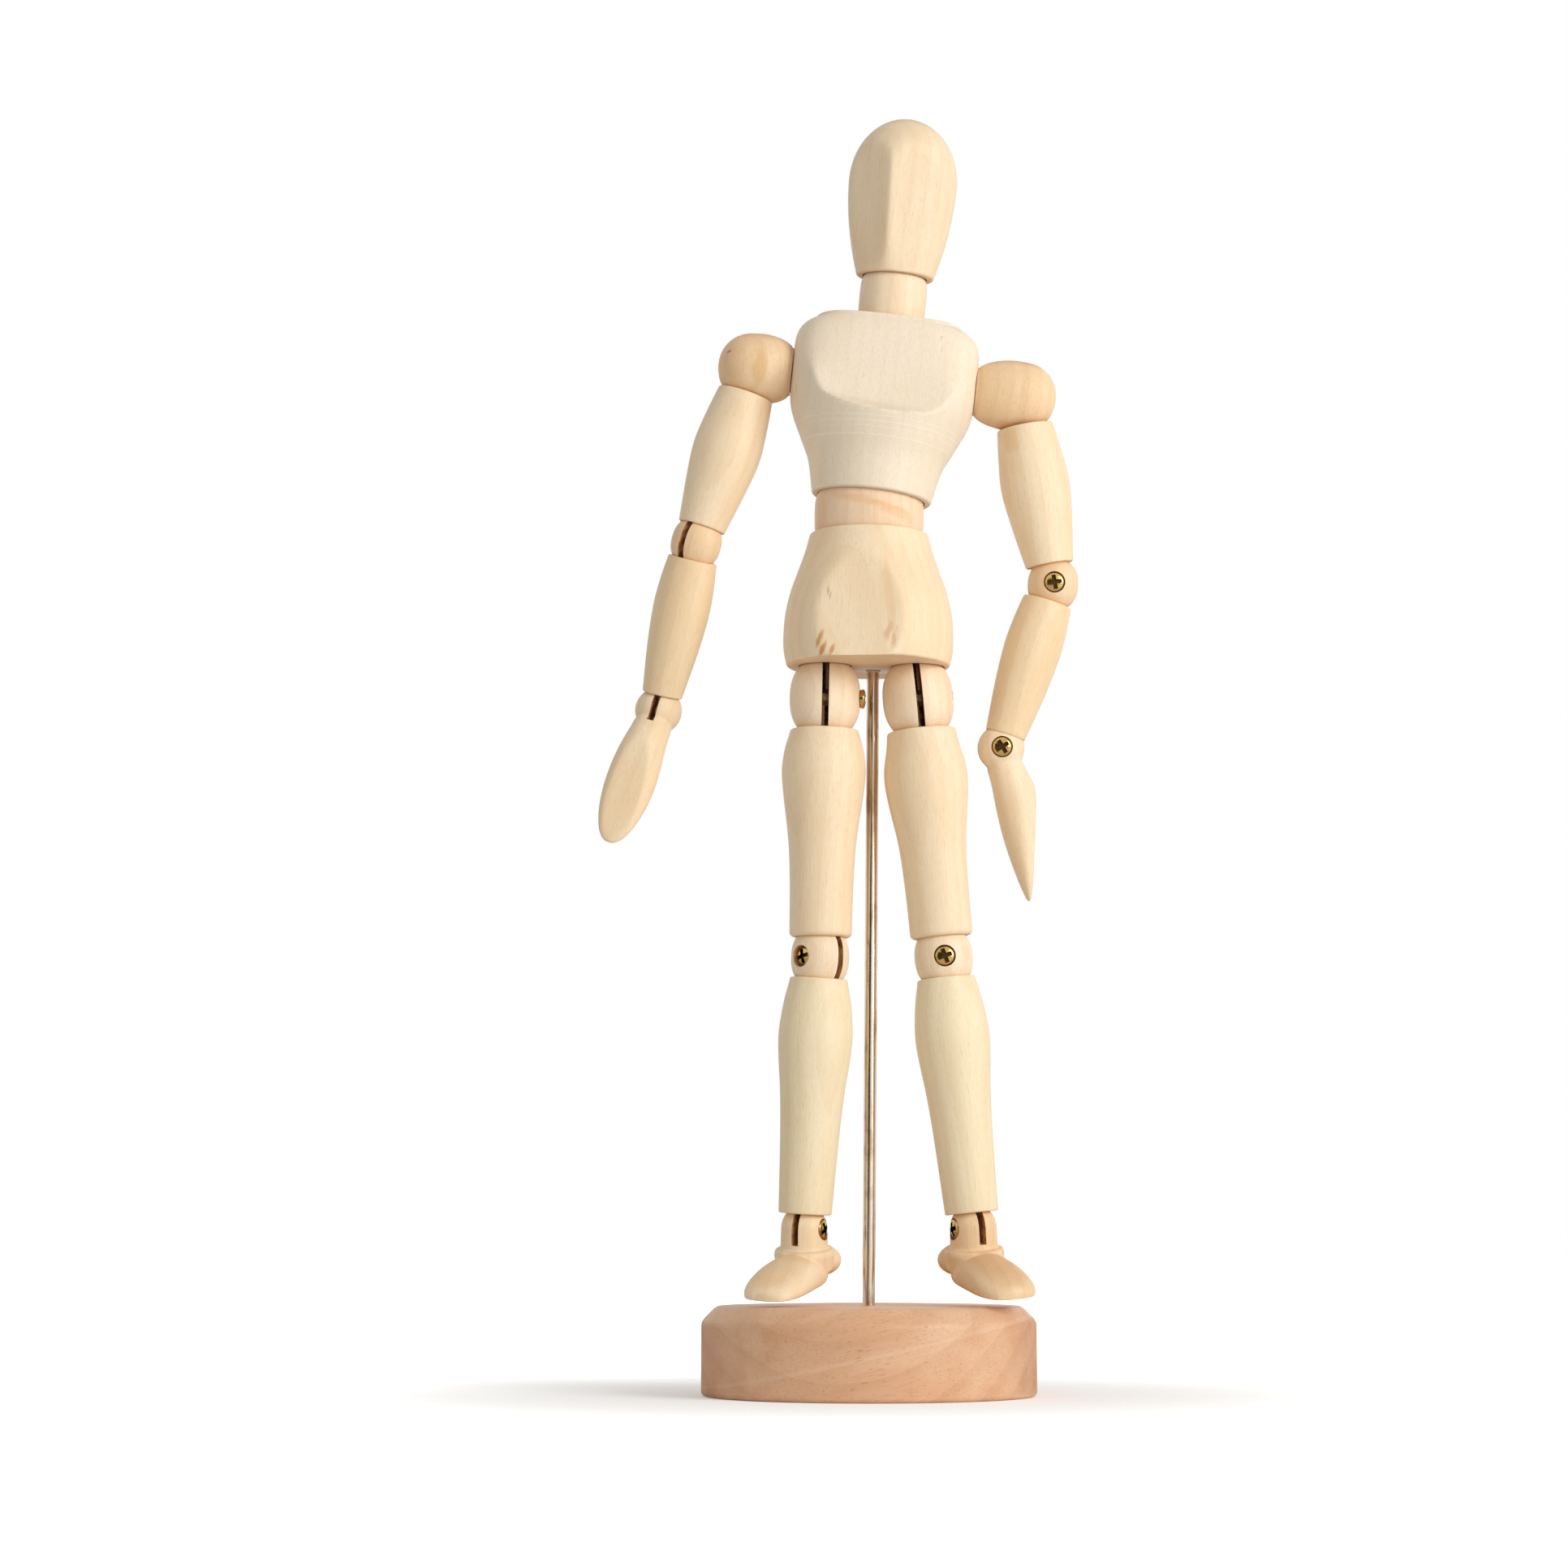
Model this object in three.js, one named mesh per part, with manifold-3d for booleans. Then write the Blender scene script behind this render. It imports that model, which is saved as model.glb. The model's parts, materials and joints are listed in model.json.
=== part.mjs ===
// A jointed wooden artist's mannequin on a round base, in the pose in which it was photographed.
// Millimetres, +Z up. The figure faces -Y, so its own left side is at +X.
// The origin is the centre of the base's underside.
import * as THREE from "three";
import { mergeVertices } from "three/addons/utils/BufferGeometryUtils.js";
import Module from "manifold-3d";

const wasm = await Module();
wasm.setup();

// Base and support rod
const BASE_RADIUS = 26.1;
const BASE_HEIGHT = 13.9;
const BASE_CHAMFER = 2.3;
const BASE_LOWER_EDGE = 0.6;
const ROD_RADIUS = 1.0;
const ROD_SEAT_DEPTH = 11;
const ROD_GRIP_IN_PELVIS = 10;
const ROD_LEAN = 0.57;
const ROD_BESIDE_PELVIS_AXIS = 0.9;
const ROD_BEHIND_PELVIS_AXIS = 4;
const ROD_CLEARANCE = 0.2;
const TOE_GAP_OVER_BASE = 0.75;

// Slotted balls: barrel radius, radius of the rounded ends and the distance from the ball's
// centre to the end face of the wood that it sits in
const SHOULDER = { barrel: 5.45, end: 5.8, face: 4.45 };
const ELBOW = { barrel: 4.0, end: 4.2, face: 2.65 };
const WRIST = { barrel: 3.75, end: 3.75, face: 2.6 };
const HIP = { barrel: 5.6, end: 6.5, face: 5.1 };
const KNEE = { barrel: 4.55, end: 4.9, face: 3.2 };
const ANKLE = { barrel: 3.6, end: 3.6, face: 2.2 };
const WAIST = { barrel: 8.7, end: 9.0, face: 2.9 };
const NECK = { barrel: 5.4, end: 5.9, face: 3.75 };
const CUP_CLEARANCE = 0.2;
const BALL_BACKWARD_SWING = 8;

// Steel tabs, the slots that they swing in and the bores that hold their strips
const TAB_HALF_WIDTH = 1.1;
const TAB_THICKNESS = 0.4;
const TAB_EYE_RADIUS = 1.7;
const TAB_SPACING = 0.12;
const TAB_DEPTH_IN_WOOD = 6;
const TAB_CLEARANCE = 0.14;

// Cross recessed brass screws
const SCREW_SHANK_RADIUS = 0.65;
const SCREW_HEAD_RADIUS = 1.65;
const SCREW_HEAD_HEIGHT = 1.1;
const SCREW_HEAD_DOME = 0.35;
const SCREW_CROWN_RADIUS = 1.0;
const SCREW_RECESS_WIDTH = 0.5;
const SCREW_RECESS_LENGTH = 2.0;
const SCREW_RECESS_DEPTH = 0.6;
const SCREW_CLEARANCE = 0.15;
const SCREW_WOOD_LEFT = 1.0;

// Torso and head
const PELVIS_HEIGHT = 21.2;
const PELVIS_FRONT = 10.8;
const PELVIS_FRONT_FROM_TOP = 5.6;
const PELVIS_FRONT_LEAN = 4.3;
const PELVIS_FRONT_TURN = -7.6;
const HIP_SPACING = 14.7;
const HIPS_ASIDE = 0.6;
const WAIST_HALF_LENGTH = 6.5;
const CHEST_HEIGHT = 28.8;
const CHEST_SIDE_FLAT = 15.0;
const CHEST_BACK_FLAT = 11.2;
const CHEST_FRONT_AT_TOP = 8.2;
const CHEST_FRONT_ANGLE = 12;
const CHEST_FRONT_FROM_TOP = 14.2;
const CHEST_RUNOUT_ANGLE = 55;
const SHOULDER_ABOVE_WAIST = 22.1;
const SHOULDER_INNER_LENGTH = 5.7;
const SHOULDER_INNER_RADIUS = 3.8;
const NECK_HALF_LENGTH = 4.6;
const HEAD_HEIGHT = 25.7;
const FACE_FACET_DISTANCE = 7.2;
const FACE_FACET_ANGLE = 28;

// Springs inside the torso
const TORSO_SPRING = { coil: 1.9, wire: 0.35, below: 12, above: 11, turns: 7 };
const NECK_SPRING = { coil: 1.3, wire: 0.25, below: 6.5, above: 7, turns: 6 };
const SHOULDER_SPRING = { coil: 1.6, wire: 0.4, turns: 6, halfLength: 10 };
const SHOULDER_SPRING_GRIP = 3.0;
const SPRING_CLEARANCE = 0.4;
const WAIST_SWING = 17;
const NECK_SWING = 24;

// Limbs
const UPPER_ARM_LENGTH = 29.6;
const FOREARM_LENGTH = 27.5;
const HAND_LENGTH = 24.8;
const PALM_DEPTH = 4.0;
const PALM_BELOW_WRIST = 6.5;
const PALM_ANGLE = 12.3;
const THIGH_LENGTH = 41.1;
const SHIN_LENGTH = 42.1;
const FOOT_LENGTH = 23;
const FOOT_HEEL_LENGTH = 6.8;
const FOOT_SOLE_DROP = 8.6;
const FOOT_COLLAR_RADIUS = 4.6;
const FOOT_COLLAR_DROP = 3.2;
const FOOT_COLLAR_EDGE = 0.5;
const LIMB_EDGE = 0.25;

// Turned radii from one end face, 0, to the other, 1: limbs and pelvis from the top, chest and head
// from the bottom
const UPPER_ARM_RADII = [[0, 4.5], [0.18, 5.05], [0.42, 5.5], [0.64, 5.05], [1, 3.85]];
const FOREARM_RADII = [[0, 3.95], [0.16, 4.35], [0.36, 4.55], [0.65, 4.15], [1, 3.2]];
const THIGH_RADII = [[0, 5.45], [0.1, 6.3], [0.22, 6.6], [0.55, 5.35], [0.76, 5.0], [1, 4.9]];
const SHIN_RADII = [[0, 4.55], [0.12, 5.4], [0.26, 5.8], [0.5, 5.0], [0.68, 4.6], [1, 4.15]];
const PELVIS_RADII = [[0, 9.5], [0.27, 11.2], [0.44, 12.35], [0.62, 13.2], [0.78, 13.45], [1, 13.0]];
const CHEST_RADII = [[0, 9.6], [0.18, 10.8], [0.46, 14.4], [0.72, 15.3], [0.88, 15.0], [1, 11.6]];
const HEAD_RADII = [[0, 6.3], [0.24, 7.5], [0.58, 8.65], [0.8, 7.9], [0.95, 4.9], [1, 0.4]];

// Hand sections from the tip: share of its length, half width, half thickness, middle towards the back
const HAND_SECTIONS = [
  [1, 0.8, 0.3, 0],
  [0.97, 1.8, 0.5, 0],
  [0.9, 2.9, 1.1, -0.1],
  [0.76, 3.8, 1.9, -0.3],
  [0.6, 4.15, 2.8, -0.5],
  [0.45, 4.0, 3.3, -0.75],
  [0.31, 3.45, 3.45, -0.85],
  [0.2, 2.9, 3.0, -0.6],
  [0.12, 2.65, 2.7, -0.1],
];

// Foot sections from the heel: share of its length, half width, half height, middle above the sole
const FOOT_SECTIONS = [
  [0, 2.4, 1.6, 2.4],
  [0.06, 3.8, 3.0, 2.6],
  [0.2, 4.3, 4.6, 3.4],
  [0.36, 4.2, 4.3, 3.4],
  [0.55, 4.65, 3.1, 2.5],
  [0.78, 4.9, 2.4, 2.0],
  [0.94, 3.8, 1.7, 1.6],
  [1, 2.0, 0.9, 1.4],
];

// The photographed pose: angles in degrees, and how far things sit off the chest and out of the ball
// and hang below their snug places
const CHEST_LEAN = 5.7;
const HEAD_TURN = -15;
const HEAD_NOD = -4;
const HEAD_TILT = -0.2;
const POSE = {
  right: {
    side: -1,
    shoulderGap: 0.1,
    hangs: { upperArm: 0, elbow: 0, forearm: 0, wrist: 0 },
    shoulderTurn: -4,
    shoulderLift: 12,
    elbow: { facing: -31, bend: -5, head: -1, proud: 0 },
    wrist: { facing: -9.5, bend: 32.4, head: -1, proud: 0 },
    hipSplay: 0.6,
    hip: { facing: 0, bend: 0, head: 1, proud: 0.9 },
    knee: { facing: 45, bend: -1.6, head: -1, proud: -0.5 },
    ankle: { facing: -24, bend: -9, head: 1, proud: 0 },
  },
  left: {
    side: 1,
    shoulderGap: 1.1,
    hangs: { upperArm: 0.5, elbow: 1.0, forearm: 1.3, wrist: 0.9 },
    shoulderTurn: -4,
    shoulderLift: 16.1,
    elbow: { facing: -90, bend: 13.8, head: 1, proud: 0 },
    wrist: { facing: 90, bend: 28, head: -1, proud: 0 },
    hipSplay: 5.9,
    hip: { facing: 0, bend: 0, head: 1, proud: 0 },
    knee: { facing: 90, bend: 0.3, head: -1, proud: 0 },
    ankle: { facing: 20, bend: -11, head: -1, proud: 0 },
  },
};

const ROUND_SIDES = 24;
const LIMB_SIDES = 12;
const SMALL_SIDES = 8;
const BALL_RINGS = 8;
const LIMB_RINGS = 6;
const TORSO_RINGS = 8;
const EYE_STEPS = 4;
const WIRE_SIDES = 4;
const STEPS_PER_TURN = 6;

const DEGREE = Math.PI / 180;
const ORIGIN = [0, 0, 0];
const FORWARD = new THREE.Vector3(-1, 0, 0);
const SIDEWAYS = new THREE.Vector3(0, 1, 0);
const UPRIGHT = new THREE.Vector3(0, 0, 1);
const FAR = 60;
const WELD = 1e-4;

// Colours and finishes
const WOOD = { color: 0xecd7b4, roughness: 0.55, metalness: 0 };
const CHEST_WOOD = { color: 0xe1d6be, roughness: 0.55, metalness: 0 };
const PINK_WOOD = { color: 0xe8cbab, roughness: 0.55, metalness: 0 };
const BASE_WOOD = { color: 0xcda07d, roughness: 0.5, metalness: 0 };
const STEEL = { color: 0x9a958c, roughness: 0.3, metalness: 1 };
const BRASS = { color: 0xc9a24e, roughness: 0.3, metalness: 1 };

// A closed three.js geometry as a solid that can be joined and cut.
function solid(geometry) {
  geometry.deleteAttribute("normal");
  geometry.deleteAttribute("uv");
  const merged = mergeVertices(geometry, WELD);
  return new wasm.Manifold(
    new wasm.Mesh({
      numProp: 3,
      vertProperties: merged.attributes.position.array,
      triVerts: new Uint32Array(merged.index.array),
    }),
  );
}

// A solid's surface as a geometry for a mesh.
function surface(shape) {
  const { vertProperties, triVerts } = shape.getMesh();
  const geometry = new THREE.BufferGeometry();
  geometry.setAttribute("position", new THREE.BufferAttribute(vertProperties, 3));
  geometry.setIndex(new THREE.BufferAttribute(triVerts, 1));
  geometry.computeVertexNormals();
  return geometry;
}

// Turned about Z from [radius, height] pairs, lowest first, and closed on the axis.
function turned(profile, sides) {
  const closed = [[0, profile[0][1]], ...profile, [0, profile.at(-1)[1]]];
  const points = closed.map(([radius, height]) => new THREE.Vector2(radius, height));
  return new THREE.LatheGeometry(points, sides).rotateX(Math.PI / 2);
}

// A smooth turned side through a table of radii, between two heights.
function turnedSide(radii, from, to, steps) {
  const stations = radii.map(([share, radius]) => new THREE.Vector2(radius, from + (to - from) * share));
  return new THREE.SplineCurve(stations).getPoints(steps).map(({ x, y }) => [x, y]);
}

// A turned length of the same radius along Z, for rods and for drilling.
function bar(radius, from, to, sides = SMALL_SIDES) {
  return turned([[radius, from], [radius, to]], sides);
}

// A cone along Z, for flared holes.
function flare(radiusFrom, from, radiusTo, to) {
  return turned([[radiusFrom, from], [radiusTo, to]], LIMB_SIDES);
}

// A straight-sided block between two corners.
function block([x0, y0, z0], [x1, y1, z1]) {
  const box = new THREE.BoxGeometry(x1 - x0, y1 - y0, z1 - z0);
  return box.translate((x0 + x1) / 2, (y0 + y1) / 2, (z0 + z1) / 2);
}

// The upper half of a ball with a cylindrical middle and rounded ends, as [radius, height] pairs.
function upperHalf({ barrel: middle, end }) {
  const corner = Math.acos(middle / end);
  const steps = BALL_RINGS / 2;
  const pairs = [];
  for (let ring = 0; ring < steps; ring += 1) {
    const polar = corner + ((Math.PI / 2 - corner) * ring) / steps;
    pairs.push([end * Math.cos(polar), end * Math.sin(polar)]);
  }
  return pairs;
}

// A whole ball of that kind, its axis along Z.
function barrel(joint, sides) {
  const upper = upperHalf(joint);
  const below = upper.filter(([, height]) => height > 0);
  const lower = below.map(([radius, height]) => [radius, -height]).reverse();
  return turned([...lower, ...upper], sides);
}

// The hollow that lets a ball turn in the wood beside it.
function cup(joint, height, sides = LIMB_SIDES) {
  const flats = Math.cos(Math.PI / sides) * Math.cos(Math.PI / 2 / BALL_RINGS);
  const radius = (joint.end + CUP_CLEARANCE) / flats;
  return solid(barrel({ barrel: radius, end: radius }, sides).translate(0, 0, height));
}

const slotHalfWidth = (tabs) => (tabs * TAB_THICKNESS + (tabs + 2) * TAB_SPACING) / 2;
const tabBore = Math.hypot(TAB_HALF_WIDTH, TAB_THICKNESS + TAB_SPACING) + TAB_CLEARANCE;
const tabReach = (joint) => joint.end + TAB_DEPTH_IN_WOOD;

// The round bore that holds a tab's strip, drilled down from a joint's centre.
function stripBore(joint) {
  return bar(tabBore, -tabReach(joint) - TAB_CLEARANCE, 0);
}

// A steel strip with an eye, hanging from a screw along X, its middle at the given X.
function tab(joint, middle) {
  const reach = tabReach(joint);
  const half = Math.asin(TAB_HALF_WIDTH / TAB_EYE_RADIUS);
  const outline = new THREE.Shape();
  outline.moveTo(-TAB_HALF_WIDTH, -reach);
  outline.lineTo(TAB_HALF_WIDTH, -reach);
  outline.absarc(0, 0, TAB_EYE_RADIUS, half - Math.PI / 2, -half - Math.PI / 2 + 2 * Math.PI, false);
  outline.closePath();
  const eye = new THREE.Path();
  eye.absarc(0, 0, SCREW_SHANK_RADIUS + SCREW_CLEARANCE, 0, 2 * Math.PI, true);
  outline.holes.push(eye);
  const sheet = { depth: TAB_THICKNESS, bevelEnabled: false, curveSegments: EYE_STEPS };
  const strip = new THREE.ExtrudeGeometry(outline, sheet);
  strip.translate(0, 0, middle - TAB_THICKNESS / 2);
  const stand = new THREE.Matrix4().makeBasis(SIDEWAYS, UPRIGHT, new THREE.Vector3(1, 0, 0));
  return strip.applyMatrix4(stand);
}

// Where a screw's head starts, measured from the centre of its ball.
const headSeat = (joint, proud) => joint.barrel - SCREW_HEAD_HEIGHT + proud;

// A screw along X through a ball, with its head towards +X or -X.
function screw(joint, { head, proud }) {
  const seat = headSeat(joint, proud);
  const top = seat + SCREW_HEAD_HEIGHT;
  const tip = -(joint.barrel - SCREW_WOOD_LEFT - SCREW_CLEARANCE);
  const profile = [
    [SCREW_SHANK_RADIUS, tip],
    [SCREW_SHANK_RADIUS, seat],
    [SCREW_HEAD_RADIUS, seat],
    [SCREW_HEAD_RADIUS, top - SCREW_HEAD_DOME],
    [SCREW_CROWN_RADIUS, top],
  ];
  let shape = solid(turned(profile, SMALL_SIDES));
  const long = SCREW_RECESS_LENGTH / 2;
  const narrow = SCREW_RECESS_WIDTH / 2;
  const floor = top - SCREW_RECESS_DEPTH;
  shape = shape.subtract(solid(block([-long, -narrow, floor], [long, narrow, FAR])));
  shape = shape.subtract(solid(block([-narrow, -long, floor], [narrow, long, FAR])));
  return surface(shape).rotateY((head * Math.PI) / 2);
}

// The hole for that screw: shank and counterbore.
function screwHole(joint, { head, proud }) {
  const blind = -(joint.barrel - SCREW_WOOD_LEFT);
  const shank = solid(bar(SCREW_SHANK_RADIUS + SCREW_CLEARANCE, blind, FAR).rotateY((head * Math.PI) / 2));
  const seat = headSeat(joint, proud) - SCREW_CLEARANCE;
  const sink = bar(SCREW_HEAD_RADIUS + SCREW_CLEARANCE, seat, FAR).rotateY((head * Math.PI) / 2);
  return shank.add(solid(sink));
}

// A ball sawn from the front for two tabs, with the wood behind the slot left whole.
function slottedBall(joint, screwPose) {
  const half = slotHalfWidth(2);
  const swing = BALL_BACKWARD_SWING * DEGREE;
  const strip = joint.end * Math.sin(swing) + TAB_HALF_WIDTH * Math.cos(swing);
  const web = Math.max(strip, TAB_EYE_RADIUS) + TAB_CLEARANCE;
  const slot = block([-half, -FAR, -FAR], [half, web, FAR]);
  return solid(barrel(joint, LIMB_SIDES)).subtract(solid(slot)).subtract(screwHole(joint, screwPose));
}

// The slot in the top of a ball that is one piece with a hand or foot.
function topSlot() {
  const half = slotHalfWidth(1);
  const floor = -(TAB_EYE_RADIUS + TAB_CLEARANCE);
  return solid(block([-half, -FAR, floor], [half, FAR, FAR]));
}

// A piece of wood hanging from the joint above, at its origin, to the joint below.
function limb(radii, length, above, below) {
  const top = -above.face;
  const bottom = below.face - length;
  const side = turnedSide(radii, top - LIMB_EDGE, bottom + LIMB_EDGE, LIMB_RINGS);
  const [first, last] = [side[0], side.at(-1)];
  const profile = [[first[0] - LIMB_EDGE, top], ...side, [last[0] - LIMB_EDGE, bottom]].reverse();
  return solid(turned(profile, LIMB_SIDES))
    .subtract(cup(above, 0))
    .subtract(cup(below, -length))
    .subtract(solid(stripBore(above)))
    .subtract(solid(stripBore(below).rotateX(Math.PI).translate(0, 0, -length)));
}

// Oval sections strung along Z: [height, half width in X, half depth in Y, Y of the middle].
function lofted(sections, sides) {
  const rows = [sections[0], ...sections, sections.at(-1)];
  const points = rows.map(([height], row) => {
    const closing = row === 0 || row === rows.length - 1;
    return new THREE.Vector2(closing ? 0 : 1, height);
  });
  const geometry = new THREE.LatheGeometry(points, sides).rotateX(Math.PI / 2);
  const position = geometry.attributes.position;
  for (let index = 0; index < position.count; index += 1) {
    const [, halfWidth, halfDepth, middle] = rows[index % rows.length];
    position.setX(index, position.getX(index) * halfWidth);
    position.setY(index, position.getY(index) * halfDepth + middle);
  }
  return geometry;
}

// A mesh with its own material, added to a group.
function add(parent, name, shape, finish) {
  const geometry = shape.isBufferGeometry ? shape : surface(shape);
  const mesh = new THREE.Mesh(geometry, new THREE.MeshStandardMaterial(finish));
  mesh.name = name;
  parent.add(mesh);
}

// A group turned about one axis by its rest angle, which carries all that lies beyond that joint.
function pivot(parent, name, place, axis, degrees) {
  const group = new THREE.Group();
  group.name = name;
  group.position.set(...place);
  group.setRotationFromAxisAngle(axis, degrees * DEGREE);
  parent.add(group);
  return group;
}

// A coil of wire about Z from one height to another.
function spring({ coil, wire, turns }, from, to) {
  class Helix extends THREE.Curve {
    getPoint(t) {
      const angle = 2 * Math.PI * turns * t;
      return new THREE.Vector3(coil * Math.cos(angle), coil * Math.sin(angle), from + (to - from) * t);
    }
  }
  const section = new THREE.Shape();
  for (let side = 0; side < WIRE_SIDES; side += 1) {
    const angle = (2 * Math.PI * side) / WIRE_SIDES;
    const [x, y] = [wire * Math.cos(angle), wire * Math.sin(angle)];
    if (side === 0) section.moveTo(x, y);
    else section.lineTo(x, y);
  }
  const steps = turns * STEPS_PER_TURN;
  return new THREE.ExtrudeGeometry(section, { steps, extrudePath: new Helix(), bevelEnabled: false });
}

const springOuter = ({ coil, wire }) => coil + wire;

function makeBase() {
  const profile = [
    [BASE_RADIUS - BASE_LOWER_EDGE, 0],
    [BASE_RADIUS, BASE_LOWER_EDGE],
    [BASE_RADIUS, BASE_HEIGHT - BASE_CHAMFER],
    [BASE_RADIUS - BASE_CHAMFER, BASE_HEIGHT],
  ];
  const socket = bar(ROD_RADIUS + ROD_CLEARANCE, -ROD_SEAT_DEPTH - ROD_CLEARANCE, FAR);
  socket.rotateY(ROD_LEAN * DEGREE).translate(0, 0, BASE_HEIGHT);
  return solid(turned(profile, ROUND_SIDES)).subtract(solid(socket));
}

const pelvisBottom = -WAIST.face - PELVIS_HEIGHT;
const hipBelowWaist = -pelvisBottom + HIP.face;
const hipPlace = (side) => [(side * HIP_SPACING) / 2 + HIPS_ASIDE, 0, -hipBelowWaist];
const rodTop = pelvisBottom + ROD_GRIP_IN_PELVIS;

function makePelvis() {
  const top = -WAIST.face;
  const side = turnedSide(PELVIS_RADII, top, pelvisBottom, LIMB_RINGS).reverse();
  const front = block([-FAR, -FAR, -FAR], [FAR, 0, FAR]).rotateX(-PELVIS_FRONT_LEAN * DEGREE);
  front.translate(0, -PELVIS_FRONT, top - PELVIS_FRONT_FROM_TOP).rotateZ(PELVIS_FRONT_TURN * DEGREE);
  const springDepth = TORSO_SPRING.below + SPRING_CLEARANCE;
  const springBore = bar(springOuter(TORSO_SPRING) + SPRING_CLEARANCE, -springDepth, 0);
  const rodBore = bar(ROD_RADIUS + ROD_CLEARANCE, -FAR, rodTop + ROD_CLEARANCE);
  rodBore.translate(ROD_BESIDE_PELVIS_AXIS, ROD_BEHIND_PELVIS_AXIS, 0);
  let shape = solid(turned(side, ROUND_SIDES))
    .subtract(solid(front))
    .subtract(cup(WAIST, 0, ROUND_SIDES))
    .subtract(solid(springBore))
    .subtract(solid(rodBore));
  for (const pose of Object.values(POSE)) {
    const hip = stripBore(HIP).rotateX(Math.PI).rotateY(-pose.side * pose.hipSplay * DEGREE);
    hip.translate(...hipPlace(pose.side));
    const socket = cup(HIP, 0).translate(hipPlace(pose.side));
    shape = shape.subtract(solid(hip)).subtract(socket);
  }
  return shape;
}

// A short ball with flat ends and a hole that widens both ways, so that it can rock on its spring.
function rockingBall(joint, halfLength, coil, swing) {
  const middle = springOuter(coil) + SPRING_CLEARANCE;
  const mouth = middle + halfLength * Math.tan(swing * DEGREE);
  const ends = solid(block([-FAR, -FAR, -halfLength], [FAR, FAR, halfLength]));
  return solid(barrel(joint, ROUND_SIDES))
    .intersect(ends)
    .subtract(solid(flare(middle, 0, mouth, halfLength + CUP_CLEARANCE)))
    .subtract(solid(flare(mouth, -halfLength - CUP_CLEARANCE, middle, 0)));
}

// The hollow in which the upper end of a spring swings.
function springHollow(coil, swing) {
  const middle = springOuter(coil) + SPRING_CLEARANCE;
  const top = coil.above + SPRING_CLEARANCE;
  return solid(flare(middle, 0, middle + top * Math.tan(swing * DEGREE), top));
}

const chestTop = WAIST.face + CHEST_HEIGHT;
const neckAboveWaist = chestTop + NECK.face;
const shoulderBeside = (pose) => CHEST_SIDE_FLAT + pose.shoulderGap + SHOULDER_INNER_LENGTH;

function makeChest() {
  const side = turnedSide(CHEST_RADII, WAIST.face, chestTop, TORSO_RINGS);
  const flats = block([-CHEST_SIDE_FLAT, -FAR, -FAR], [CHEST_SIDE_FLAT, CHEST_BACK_FLAT, FAR]);
  const front = block([-FAR, -FAR, -FAR], [FAR, 0, FAR]).rotateX(-CHEST_FRONT_ANGLE * DEGREE);
  front.translate(0, -CHEST_FRONT_AT_TOP, chestTop);
  const runout = block([-FAR, -FAR, -FAR], [FAR, 0, FAR]).rotateX(-CHEST_RUNOUT_ANGLE * DEGREE);
  const slope = Math.tan(CHEST_FRONT_ANGLE * DEGREE);
  const frontDepth = CHEST_FRONT_AT_TOP + CHEST_FRONT_FROM_TOP * slope;
  runout.translate(0, -frontDepth, chestTop - CHEST_FRONT_FROM_TOP);
  const across = springOuter(SHOULDER_SPRING) + SPRING_CLEARANCE;
  const shoulderBore = bar(across, -FAR, FAR).rotateY(Math.PI / 2).translate(0, 0, SHOULDER_ABOVE_WAIST);
  const neckDepth = NECK_SPRING.below + SPRING_CLEARANCE;
  const neckBore = bar(springOuter(NECK_SPRING) + SPRING_CLEARANCE, -neckDepth, 0);
  return solid(turned(side, ROUND_SIDES))
    .intersect(solid(flats))
    .subtract(solid(front).intersect(solid(runout)))
    .subtract(cup(WAIST, 0, ROUND_SIDES))
    .subtract(springHollow(TORSO_SPRING, WAIST_SWING))
    .subtract(solid(shoulderBore))
    .subtract(cup(NECK, neckAboveWaist))
    .subtract(solid(neckBore.translate(0, 0, neckAboveWaist)));
}

function makeHead() {
  const side = turnedSide(HEAD_RADII, NECK.face, NECK.face + HEAD_HEIGHT, TORSO_RINGS);
  let shape = solid(turned(side, ROUND_SIDES));
  for (const turn of [-1, 1]) {
    const chip = block([-FAR, -FAR, -FAR], [FAR, -FACE_FACET_DISTANCE, FAR]);
    shape = shape.subtract(solid(chip.rotateZ(turn * FACE_FACET_ANGLE * DEGREE)));
  }
  return shape.subtract(cup(NECK, 0)).subtract(springHollow(NECK_SPRING, NECK_SWING));
}

// Turned about X: a flat inner end on the chest's side and a round outer end in the arm's cup.
function makeShoulderBall(side, screwPose) {
  const outer = upperHalf(SHOULDER);
  const [middle, barrelHalf] = outer[0];
  const profile = [[SHOULDER_INNER_RADIUS, -SHOULDER_INNER_LENGTH], [middle, -barrelHalf], ...outer];
  const half = slotHalfWidth(1);
  const inner = TAB_HALF_WIDTH + TAB_EYE_RADIUS / 2;
  const slot = block([-inner, -half, -FAR], [FAR, half, TAB_EYE_RADIUS + TAB_CLEARANCE]);
  const wireBore = bar(SHOULDER_SPRING.wire + SPRING_CLEARANCE / 2, -FAR, 0).rotateY(Math.PI / 2);
  wireBore.translate(SHOULDER_SPRING_GRIP + SPRING_CLEARANCE - SHOULDER_INNER_LENGTH, 0, 0);
  const ball = solid(turned(profile, LIMB_SIDES).rotateY(Math.PI / 2))
    .subtract(solid(slot))
    .subtract(solid(wireBore));
  const outwards = side > 0 ? ball : ball.rotate([0, 0, 180]);
  return outwards.subtract(screwHole(SHOULDER, screwPose).rotate([0, 0, -90]));
}

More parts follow.
